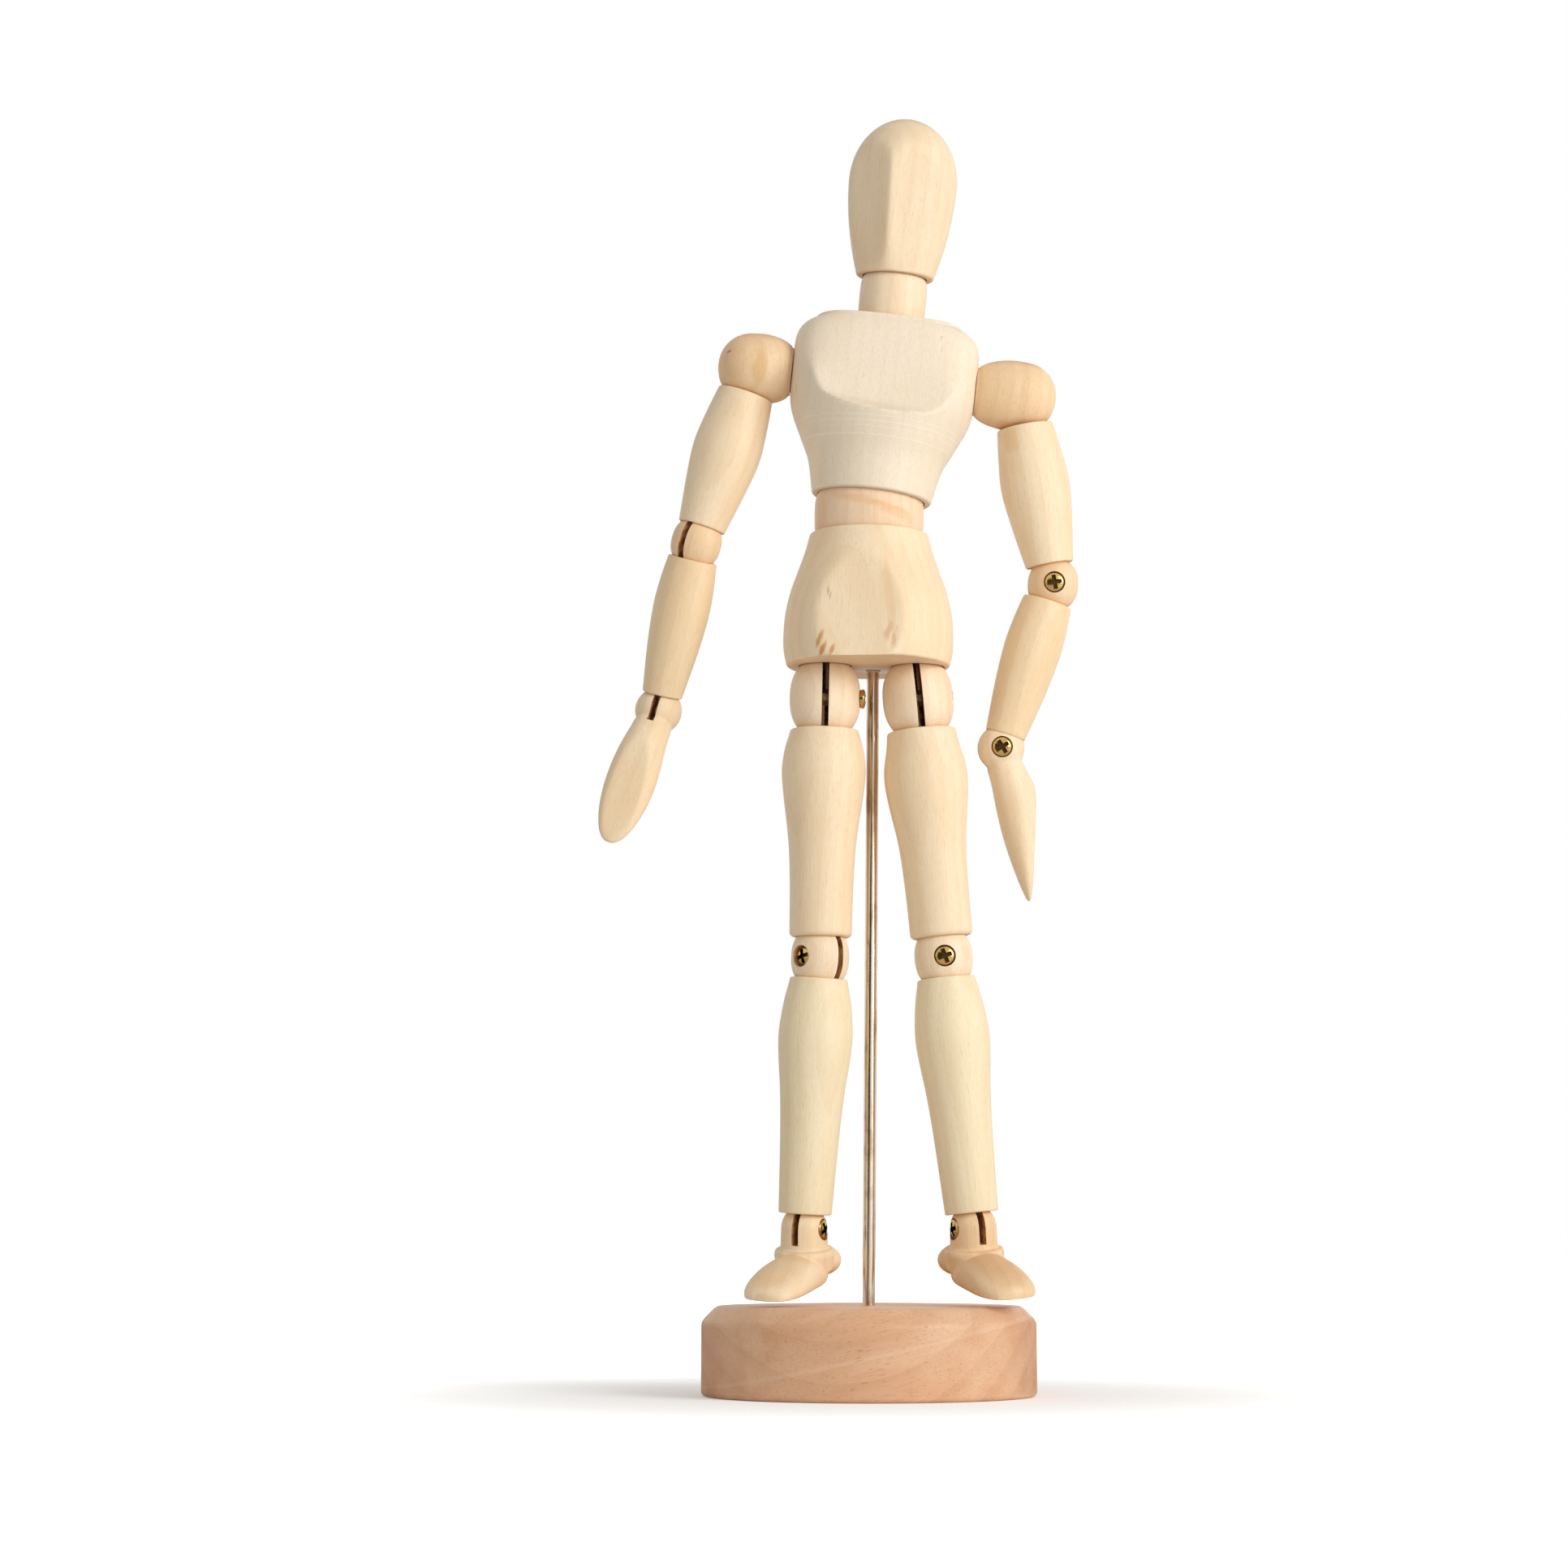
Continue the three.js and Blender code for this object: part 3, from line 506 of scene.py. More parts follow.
class Bench:
    """Wires the shader nodes of one material."""

    def __init__(self, name: str) -> None:
        """Starts a material with only a surface shader.

        Args:
            name: The material's name.
        """
        self.material = bpy.data.materials.new(name)
        self.material.use_nodes = True
        self.nodes = self.material.node_tree.nodes
        self.nodes.clear()
        self.shader = self.nodes.new("ShaderNodeBsdfPrincipled")
        self.output = self.nodes.new("ShaderNodeOutputMaterial")
        self.wire(self.output.inputs["Surface"], self.shader.outputs["BSDF"])

    def wire(self, socket: NodeSocket, value: Wire) -> None:
        """Links a socket to another, or sets it to a number, a vector or a colour.

        Args:
            socket: The socket.
            value: What goes into it.
        """
        if isinstance(value, NodeSocket):
            self.material.node_tree.links.new(value, socket)
        elif isinstance(value, tuple) and len(socket.default_value) == 4:
            socket.default_value = (*value, 1)
        else:
            socket.default_value = value

    def add(self, kind: str, inputs: dict[Union[str, int], Wire], **settings: str) -> Node:
        """Adds a node.

        Args:
            kind: The node's type.
            inputs: What goes into its sockets, by name or number.
            settings: Its other properties.

        Returns:
            The node.
        """
        node = self.nodes.new(kind)
        for name, value in settings.items():
            setattr(node, name, value)
        for socket, value in inputs.items():
            self.wire(node.inputs[socket], value)
        return node

    def place(self, seat: Seat) -> NodeSocket:
        """Coordinates in millimetres in a piece's own axes.

        Args:
            seat: Where the piece sits.

        Returns:
            The coordinates.
        """
        mapping = self.add(
            "ShaderNodeMapping",
            {
                "Vector": self.nodes.new("ShaderNodeTexCoord").outputs["Object"],
                "Location": tuple(seat.origin),
                "Rotation": tuple(seat.turn.to_euler()),
                "Scale": (MM, MM, MM),
            },
            vector_type="TEXTURE",
        )
        return mapping.outputs[0]

    def vector(self, operation: str, first: Wire, second: Wire = (0, 0, 0)) -> NodeSocket:
        """A sum on vectors."""
        node = self.add("ShaderNodeVectorMath", {0: first, 1: second}, operation=operation)
        return node.outputs["Value" if operation in ("LENGTH", "DOT_PRODUCT") else "Vector"]

    def maths(self, operation: str, first: Wire, second: Wire = 0) -> NodeSocket:
        """A sum on numbers."""
        return self.add("ShaderNodeMath", {0: first, 1: second}, operation=operation).outputs[0]

    def noise(self, place: Wire, stretch: Triple, detail: float = 2) -> NodeSocket:
        """Soft clouds.

        Args:
            place: Coordinates in millimetres.
            stretch: How many clouds there are in a millimetre, along each axis.
            detail: How many finer layers they have.

        Returns:
            A value from 0 to 1.
        """
        scaled = self.vector("MULTIPLY", place, stretch)
        return self.add("ShaderNodeTexNoise", {"Vector": scaled, "Scale": 1, "Detail": detail}).outputs[0]

    def between(self, value: Wire, low: float, high: float, most: float = 1) -> NodeSocket:
        """Eases a value from 0 at one level to the most at another."""
        inputs = {"Value": value, "From Min": low, "From Max": high, "To Min": 0, "To Max": most}
        return self.add("ShaderNodeMapRange", inputs, interpolation_type="SMOOTHSTEP").outputs[0]

    def blend(self, share: Wire, first: Wire, second: Wire, mode: str = "MIX") -> NodeSocket:
        """Mixes two colours.

        Args:
            share: How much the second one counts.
            first: The first colour.
            second: The second colour.
            mode: How they mix.

        Returns:
            The mixed colour.
        """
        node = self.add("ShaderNodeMix", {}, data_type="RGBA", blend_type=mode)
        for socket, value in zip((node.inputs[0], node.inputs[6], node.inputs[7]), (share, first, second)):
            self.wire(socket, value)
        return node.outputs[2]

    def bump(self, height: Wire, depth: float) -> None:
        """Gives the surface a fine relief.

        Args:
            height: The relief, from 0 to 1.
            depth: How deep it is, in millimetres.
        """
        node = self.add("ShaderNodeBump", {"Height": height, "Distance": depth * MM, "Strength": 1})
        self.wire(self.shader.inputs["Normal"], node.outputs[0])


@dataclass(frozen=True)
class Mark:
    """A knot, streak, stain or lathe line in the wood, in the piece's own axes, turned about Y in degrees."""

    centre: Triple
    reach: Triple
    colour: Triple
    strength: float
    ragged: float = 0.5
    turn: float = 0.0


@dataclass(frozen=True)
class Wood:
    """Bare sanded wood with its grain along the piece's Z axis."""

    name: str
    slot: str
    pale: Triple
    warm: Triple
    ring: Triple
    ring_spacing: float = 2.2
    ring_share: float = 0.16
    warm_share: float = 0.4
    fleck_share: float = 0.16
    roughness: float = 0.52
    relief: float = 0.03
    band_scale: Triple = (0.22, 0.22, 0.018)
    fibre_scale: Triple = (3.4, 3.4, 0.16)
    fleck_scale: Triple = (5.5, 5.5, 0.75)
    cloud_scale: Triple = (0.09, 0.09, 0.05)
    fuzz_scale: Triple = (2.7, 2.7, 1.0)
    cloud_share: float = 0.3
    fuzz_share: float = 0.24
    fibre_share: float = 0.22
    end_grain_share: float = 0.35

    def dress(self, piece: str, seat: Seat, marks: Sequence[Mark] = ()) -> Material:
        """Makes this wood for one piece, with a figure of its own.

        Args:
            piece: The piece's name, which also shifts the figure.
            seat: The piece's axes, with Z along the grain.
            marks: Knots, streaks and lines on it.

        Returns:
            The material.
        """
        bench = Bench(f"{self.name}.{piece}")
        place = bench.place(seat)
        number = sum(ord(letter) * (index + 1) for index, letter in enumerate(piece))
        shift = (number % 89 + 7.0, number % 53 + 5.0, float(number % 131))
        log_place = bench.vector("ADD", place, shift)
        bands = bench.noise(log_place, self.band_scale)
        fibre = bench.noise(log_place, self.fibre_scale, detail=4)
        fleck = bench.between(bench.noise(log_place, self.fleck_scale, detail=1), 0.62, 0.74)
        cloud = bench.noise(log_place, self.cloud_scale)
        rings = bench.add(
            "ShaderNodeTexWave",
            {
                "Vector": bench.vector("MULTIPLY", log_place, (1, 1, 0.12)),
                "Scale": math.tau / 20 / self.ring_spacing,
                "Distortion": 2.4,
                "Detail": 2,
                "Detail Scale": 0.5,
            },
            wave_type="RINGS",
            rings_direction="Z",
            wave_profile="SAW",
        ).outputs[1]
        tone = bench.blend(bench.between(bands, 0.42, 0.68, self.warm_share), self.pale, self.warm)
        tone = bench.blend(bench.between(rings, 0.35, 1, self.ring_share), tone, self.ring)
        tone = bench.blend(bench.between(cloud, 0.45, 0.7, self.cloud_share), tone, self.warm)
        fuzz = bench.noise(log_place, self.fuzz_scale, detail=3)
        tone = bench.blend(bench.between(fuzz, 0.4, 0.68, self.fuzz_share), tone, self.warm)
        tone = bench.blend(bench.between(fibre, 0.5, 0.75, self.fibre_share), tone, self.ring)
        tone = bench.blend(bench.maths("MULTIPLY", fleck, self.fleck_share), tone, self.ring, "MULTIPLY")
        normal = self.nodes_normal(bench)
        upright = bench.maths("ABSOLUTE", bench.vector("DOT_PRODUCT", normal, tuple(seat.z.normalized())))
        end_grain = bench.between(upright, 0.72, 0.97)
        raw = bench.maths("MULTIPLY", end_grain, self.end_grain_share)
        tone = bench.blend(raw, tone, self.ring, "MULTIPLY")
        for mark in marks:
            tone = bench.blend(self.spot(bench, place, mark), tone, mark.colour)
        bench.wire(bench.shader.inputs["Base Color"], tone)
        polish = bench.maths("MULTIPLY_ADD", fibre, 0.16)
        bench.wire(polish.node.inputs[2], self.roughness - 0.08)
        rough = bench.maths("MULTIPLY_ADD", end_grain, 0.12)
        bench.wire(rough.node.inputs[2], polish)
        bench.wire(bench.shader.inputs["Roughness"], rough)
        bench.shader.inputs["Specular IOR Level"].default_value = 0.35
        grain = bench.maths("SUBTRACT", fibre, bench.maths("MULTIPLY", fleck, 0.6))
        bench.bump(grain, self.relief)
        return bench.material

    @staticmethod
    def nodes_normal(bench: Bench) -> NodeSocket:
        """The surface's own direction."""
        return bench.nodes.new("ShaderNodeTexCoord").outputs["Normal"]

    @staticmethod
    def spot(bench: Bench, place: NodeSocket, mark: Mark) -> NodeSocket:
        """How strongly a mark shows at a place.

        Args:
            bench: The material's bench.
            place: Coordinates in the piece's own axes.
            mark: The mark.

        Returns:
            A share from 0 to the mark's strength.
        """
        own = {"Location": mark.centre, "Rotation": (0, math.radians(mark.turn), 0), "Scale": mark.reach}
        away = bench.add("ShaderNodeMapping", {"Vector": place, **own}, vector_type="TEXTURE").outputs[0]
        torn = bench.noise(place, tuple(min(1.2 / reach, 3.0) for reach in mark.reach), detail=3)
        edge = bench.maths("MULTIPLY_ADD", bench.maths("SUBTRACT", torn, 0.5), 2 * mark.ragged)
        bench.wire(edge.node.inputs[2], bench.vector("LENGTH", away))
        return bench.maths("MULTIPLY", bench.between(edge, 1, 0.35), mark.strength)


@dataclass(frozen=True)
class SawnWood:
    """The raw, slightly scorched faces inside a saw cut or a drilled hole."""

    name: str
    colour: Triple
    scorch: Triple

    def dress(self) -> Material:
        """Makes the finish, which all pieces share.

        Returns:
            The material.
        """
        bench = Bench(self.name)
        place = bench.place(Seat(Vector(), Vector((1, 0, 0)), Vector((0, 0, 1))))
        burn = bench.between(bench.noise(place, (0.9, 0.9, 0.9), detail=3), 0.35, 0.65)
        saw_marks = bench.noise(place, (6, 6, 1.2), detail=3)
        tone = bench.blend(burn, self.colour, self.scorch)
        tone = bench.blend(bench.between(saw_marks, 0.4, 0.7, 0.5), tone, self.scorch)
        bench.wire(bench.shader.inputs["Base Color"], tone)
        bench.shader.inputs["Roughness"].default_value = 0.8
        bench.shader.inputs["Specular IOR Level"].default_value = 0.2
        bench.bump(saw_marks, 0.08)
        return bench.material


@dataclass(frozen=True)
class Metal:
    """A drawn or turned metal with faint marks of its making."""

    name: str
    slot: str
    colour: Triple
    tarnish: Triple
    roughness: float
    scratches: Triple

    def dress(self, seat: Seat) -> Material:
        """Makes this metal with its drawing lines along a seat's Z axis.

        Args:
            seat: The axes that the marks follow.

        Returns:
            The material.
        """
        bench = Bench(self.name)
        place = bench.place(seat)
        stain = bench.between(bench.noise(place, (0.5, 0.5, 0.2), detail=4), 0.48, 0.72, 0.7)
        lines = bench.noise(place, self.scratches, detail=3)
        bench.wire(bench.shader.inputs["Base Color"], bench.blend(stain, self.colour, self.tarnish))
        bench.shader.inputs["Metallic"].default_value = 1
        worn = bench.maths("MULTIPLY_ADD", lines, 0.2)
        bench.wire(worn.node.inputs[2], self.roughness - 0.1)
        bench.wire(bench.shader.inputs["Roughness"], worn)
        bench.bump(lines, 0.004)
        return bench.material


LIMB_WOOD = Wood("limb_wood", "pale_wood", srgb(247, 226, 193), srgb(240, 208, 163), srgb(226, 188, 142))
SHIN_WOOD = Wood("shin_wood", "shin_wood", srgb(246, 230, 196), srgb(238, 214, 168), srgb(222, 192, 146))
FOREARM_WOOD = Wood(
    "forearm_wood", "pale_wood", srgb(245, 219, 180), srgb(238, 204, 156), srgb(222, 182, 132)
)
HEAD_WOOD = Wood("head_wood", "pale_wood", srgb(245, 224, 192), srgb(236, 207, 168), srgb(218, 184, 142))
JOINT_WOOD = Wood("joint_wood", "joint_wood", srgb(249, 228, 198), srgb(241, 210, 171), srgb(222, 180, 138))
WAIST_WOOD = Wood("waist_wood", "joint_wood", srgb(245, 219, 188), srgb(236, 200, 160), srgb(216, 170, 124))
SHOULDER_WOOD = Wood(
    "shoulder_wood", "joint_wood", srgb(243, 213, 173), srgb(234, 194, 147), srgb(214, 166, 116)
)
CHEST_WOOD = Wood(
    "chest_wood",
    "chest_wood",
    srgb(243, 229, 206),
    srgb(237, 218, 190),
    srgb(216, 192, 160),
    ring_spacing=1.9,
    ring_share=0.09,
    warm_share=0.3,
)
BASE_WOOD = Wood(
    "base_wood",
    "base_wood",
    srgb(232, 189, 152),
    srgb(219, 165, 123),
    srgb(184, 128, 92),
    ring_spacing=4.2,
    ring_share=0.16,
    warm_share=0.6,
    fleck_share=0.35,
    roughness=0.46,
)
SAWN = SawnWood("sawn_wood", srgb(228, 178, 122), srgb(158, 98, 54))
STEEL = Metal("steel", "steel", srgb(224, 208, 188), srgb(166, 134, 100), 0.2, (9, 9, 0.1))
DULL_STEEL = Metal("dull_steel", "steel", srgb(186, 152, 118), srgb(126, 84, 52), 0.42, (5, 5, 0.6))
BRASS = Metal("brass", "brass", srgb(206, 172, 106), srgb(152, 116, 62), 0.2, (4, 4, 4))
# Painted shade: a darker brass for the screws' cross recesses, standing in for the shade that falls in them.
SHADED_BRASS = Metal("shaded_brass", "brass", srgb(88, 64, 32), srgb(46, 32, 16), 0.34, (4, 4, 4))

TURNED_STEPS = 96
CARVED_STEPS = 192
SMALL_STEPS = 48
SIDE_STEPS = 48
CUP_CLEARANCE = 0.12
UP = Vector((0, 0, 1))
FORWARD = (-1, 0, 0)


@dataclass(frozen=True)
class Ball:
    """A joint's ball: its barrel, its rounded ends and how far off the next wood's end face lies."""

    barrel: float
    end: float
    face: float
    squareness: float = 2.0

    def outline(self, steps: int = 40) -> list[Point]:
        """The ball's side view, from its lower pole to its upper pole.

        Args:
            steps: How many stretches it has.

        Returns:
            Pairs of radius and height.
        """
        power = 2 / self.squareness
        return [
            (self.barrel * max(across, 0) ** power, math.copysign(self.end * abs(height) ** power, height))
            for across, height in arc(1, -90, 90, steps)
        ]

    def socket(self, bore: float, depth: float) -> list[Point]:
        """The hollow for this ball in the wood below it.

        Args:
            bore: Radius of the hole that goes on below the cup.
            depth: How far the hole reaches below the ball's centre.

        Returns:
            Points from the axis at the hole's floor to the rim of the cup.
        """
        cup = self.end + CUP_CLEARANCE
        start = -math.degrees(math.acos(bore / cup))
        end = -math.degrees(math.asin(self.face / cup))
        return [(0, -depth), (bore, -depth), *arc(cup, start, end, 10)]


SHOULDER = Ball(5.55, 5.8, 4.45, 2.15)
ELBOW = Ball(4.0, 4.2, 2.65, 2.3)
WRIST = Ball(3.75, 3.75, 2.6)
HIP = Ball(5.6, 6.5, 5.1, 2.4)
KNEE = Ball(4.55, 4.9, 3.2, 2.4)
ANKLE = Ball(3.6, 3.6, 2.2)
WAIST = Ball(8.7, 9.0, 2.9)
NECK = Ball(5.45, 6.3, 3.75)


@dataclass(frozen=True)
class Hardware:
    """The steel tabs and brass screws that hold the joints, and the room that the wood leaves them."""

    tab_depth: float = 6.14
    tab_bore: float = 1.36
    tab_eye: float = 1.84
    tab_half: float = 1.1
    tab_swing: float = 8.0
    double_slot: float = 0.54
    single_slot: float = 0.55
    shank: float = 0.65
    head: float = 1.55
    head_height: float = 1.1
    dome: float = 0.5
    recess: float = 1.15
    recess_width: float = 0.33
    recess_depth: float = 0.8
    clearance: float = 0.15
    wood_left: float = 1.0

    def limb_socket(self, ball: Ball) -> list[Point]:
        """The hollow for a ball and its tab in the end of a limb."""
        return ball.socket(self.tab_bore, ball.end + self.tab_depth)

    def along_x(self, head: int, twist: float = 0) -> Matrix:
        """Lays a screw along X, with its head towards +X or -X and its cross twisted in degrees."""
        lay = Matrix.Rotation(math.radians(90 * head), 4, "Y")
        return lay @ Matrix.Rotation(math.radians(twist), 4, "Z")

    def hole(self, ball: Ball, head: int, proud: float) -> Blank:
        """The drilled hole and counterbore for a screw.

        Args:
            ball: The ball that the screw goes through.
            head: Which way its head points along X.
            proud: How far the head stands out of the wood.

        Returns:
            The shape to cut away.
        """
        seat = ball.barrel - self.head_height + proud - self.clearance
        shank, sink = self.shank + self.clearance, self.head + self.clearance
        tip = self.wood_left - ball.barrel
        outline = [(0, tip), (shank, tip), (shank, seat), (sink, seat), (sink, FAR), (0, FAR)]
        return Blank().turn(outline, SMALL_STEPS).paint(Face.SAWN).move(self.along_x(head))

    def screw(self, ball: Ball, head: int, proud: float, twist: float) -> Blank:
        """A cross recessed screw along X.

        Args:
            ball: The ball that it goes through.
            head: Which way its head points along X.
            proud: How far the head stands out of the wood.
            twist: How far its cross is turned, in degrees.

        Returns:
            The screw.
        """
        seat = ball.barrel - self.head_height + proud
        top = seat + self.head_height
        tip = self.wood_left + self.clearance - ball.barrel
        edge = self.dome * 0.6
        crown = [
            (self.head * math.cos(angle), top - self.dome + self.dome * math.sin(angle))
            for angle in (math.radians(90 * step / 8) for step in range(9))
        ]
        outline = [(0, tip - edge), (self.shank, tip), (self.shank, seat), (self.head - edge / 2, seat)]
        shape = Blank().turn([*outline, *crown], SMALL_STEPS)
        # The cross recess's faces take the second finish, a darker brass that paints the shade in the recess.
        for wide, long in ((self.recess_width, self.recess), (self.recess, self.recess_width)):
            cross = Blank().block((-wide, -long, top - self.recess_depth), (wide, long, FAR))
            shape.cut(cross.paint(Face.SAWN))
        return shape.move(self.along_x(head, twist))

    def fit_screw(self, node: str, seat: Seat, shape: Blank) -> None:
        """Sets a screw in its ball and gives it its brass, with a darker brass in the cross as painted shade.
        """
        shape.fit(node, seat, BRASS.slot, [brass, shaded_brass])

    def slotted_ball(self, ball: Ball) -> Blank:
        """A ball sawn from the front for two tabs, with the wood behind the slot left whole.

        Args:
            ball: The ball's sizes.

        Returns:
            The ball.
        """
        swing = math.radians(self.tab_swing)
        strip = ball.end * math.sin(swing) + self.tab_half * math.cos(swing)
        web = max(strip + self.clearance, self.tab_eye)
        half = self.double_slot
        slot = Blank().block((-half, -FAR, -FAR), (half, web, FAR)).paint(Face.SAWN)
        return Blank().turn(ball.outline(), TURNED_STEPS).cut(slot)

    def top_slot(self, depth: float) -> Blank:
        """The slot for one tab in the top of a ball that is part of a hand or foot."""
        half = self.single_slot
        return Blank().block((-half, -FAR, -depth), (half, FAR, FAR)).paint(Face.SAWN)


HARDWARE = Hardware()
sawn = SAWN.dress()
brass = BRASS.dress(Seat(Vector(), Vector((1, 0, 0)), UP))
shaded_brass = SHADED_BRASS.dress(Seat(Vector(), Vector((1, 0, 0)), UP))


@dataclass(frozen=True)
class Screw:
    """How one screw sits: the way of its head along X, how far it stands out and its cross's turn."""

    head: int
    proud: float = 0
    twist: float = 0


@dataclass(frozen=True)
class Limb:
    """A turned length of wood between two balls, with radii from its upper end, 0, to its lower, 1."""

    above: Ball
    below: Ball
    length: float
    radii: tuple[Point, ...]
    edge: float = 0.35
    lower_edge: float = 0.3

    def shape(self) -> Blank:
        """Turns the limb, cupped and bored at both ends, hanging from the joint above.

        Returns:
            The limb.
        """
        top, bottom = -self.above.face, self.below.face - self.length
        first, last = self.radii[0][1], self.radii[-1][1]
        high, low = top - self.edge, bottom + self.lower_edge
        steps = SIDE_STEPS
        side = [(eased(self.radii, n / steps), high + (low - high) * n / steps) for n in range(1, steps)]
        lower = [(radius, -self.length - height) for radius, height in HARDWARE.limb_socket(self.below)]
        outline = [
            *HARDWARE.limb_socket(self.above),
            *arc(self.edge, 90, 0, 5, (first - self.edge, high)),
            *side,
            *arc(self.lower_edge, 0, -90, 5, (last - self.lower_edge, low)),
            *reversed(lower),
        ]
        return Blank().turn(outline, TURNED_STEPS)


@dataclass
class Stand:
    """The round base and the steel rod that holds the figure up."""

    radius: float = 26.1
    height: float = 13.9
    chamfer: float = 2.3
    corner: float = 0.9
    lower_edge: float = 0.8
    socket_radius: float = 1.2
    socket_depth: float = 11.2
    rod_radius: float = 1.0
    rod_seat: float = 11.0
    rod_below_waist: float = 14.1
    rod_edge: float = 0.25

    def build(self) -> None:
        """Makes the base and the rod."""
        self.build_base()
        self.build_rod()

    def build_base(self) -> None:
        """Turns the base and dresses it with its grain across."""
        bevel = self.radius - self.chamfer
        top, shoulder = self.height, self.height - self.chamfer
        rim = [(bevel, top), (self.radius, shoulder)]
        rounded = [
            (rim[0][0] - self.corner, top),
            (rim[0][0] - self.corner * 0.3, top - self.corner * 0.06),
            (rim[0][0] + self.corner * 0.35, top - self.corner * 0.45),
            (rim[1][0] - self.corner * 0.45, shoulder + self.corner * 0.35),
            (rim[1][0] - self.corner * 0.06, shoulder - self.corner * 0.3),
            (rim[1][0], shoulder - self.corner),
        ]
        edge = self.lower_edge
        wall = shoulder - self.corner - edge
        outline = [
            (0, top - self.socket_depth),
            (self.socket_radius, top - self.socket_depth),
            (self.socket_radius, top),
            *((self.socket_radius + (bevel - 1) * share / 6, top) for share in range(1, 6)),
            *rounded,
            *((self.radius, edge + wall * (1 - share / 6)) for share in range(1, 6)),
            *arc(edge, 0, -90, 6, (self.radius - edge, edge)),
            (0, 0),
        ]
        seat = Seat(Vector(), Vector((1, 0, 0)), UP)
        grain = Seat(Vector((0, 0, 0.0072)), Vector((-0.22, -0.02, 1)), Vector((1, 0, 0.22)))
        vein = Mark((0, 0, 0), (0.5, 60, 60), srgb(244, 210, 180), 0.24, 0.7)
        finish = BASE_WOOD.dress("base", grain, [vein])
        Blank().turn(outline, CARVED_STEPS).fit("base", seat, BASE_WOOD.slot, [finish, sawn])

    def build_rod(self) -> None:
        """Turns the rod, which leans a little."""
        axis = joint_axis("rod_turn")
        foot = joint_point("rod_turn")
        top = (joint_point("torso_turn") - foot).dot(axis) / MM - self.rod_below_waist
        inner = self.rod_radius - self.rod_edge
        outline = [
            (0, -self.rod_seat),
            (inner, -self.rod_seat),
            (self.rod_radius, self.rod_edge - self.rod_seat),
            *((self.rod_radius, top * share / 12) for share in range(12)),
            (self.rod_radius, top - self.rod_edge),
            (inner, top),
            (0, top),
        ]
        seat = Seat(foot, Vector((1, 0, 0)), axis)
        steel = STEEL.dress(seat)
        Blank().turn(outline, SMALL_STEPS).fit("support_rod", seat, STEEL.slot, [steel, steel])
        dull_steel = DULL_STEEL.dress(seat)
        for node in frame["nodes"].values():
            if node.name.endswith(("_tab", "_spring")):
                node.data.materials.clear()
                node.data.materials.append(dull_steel)


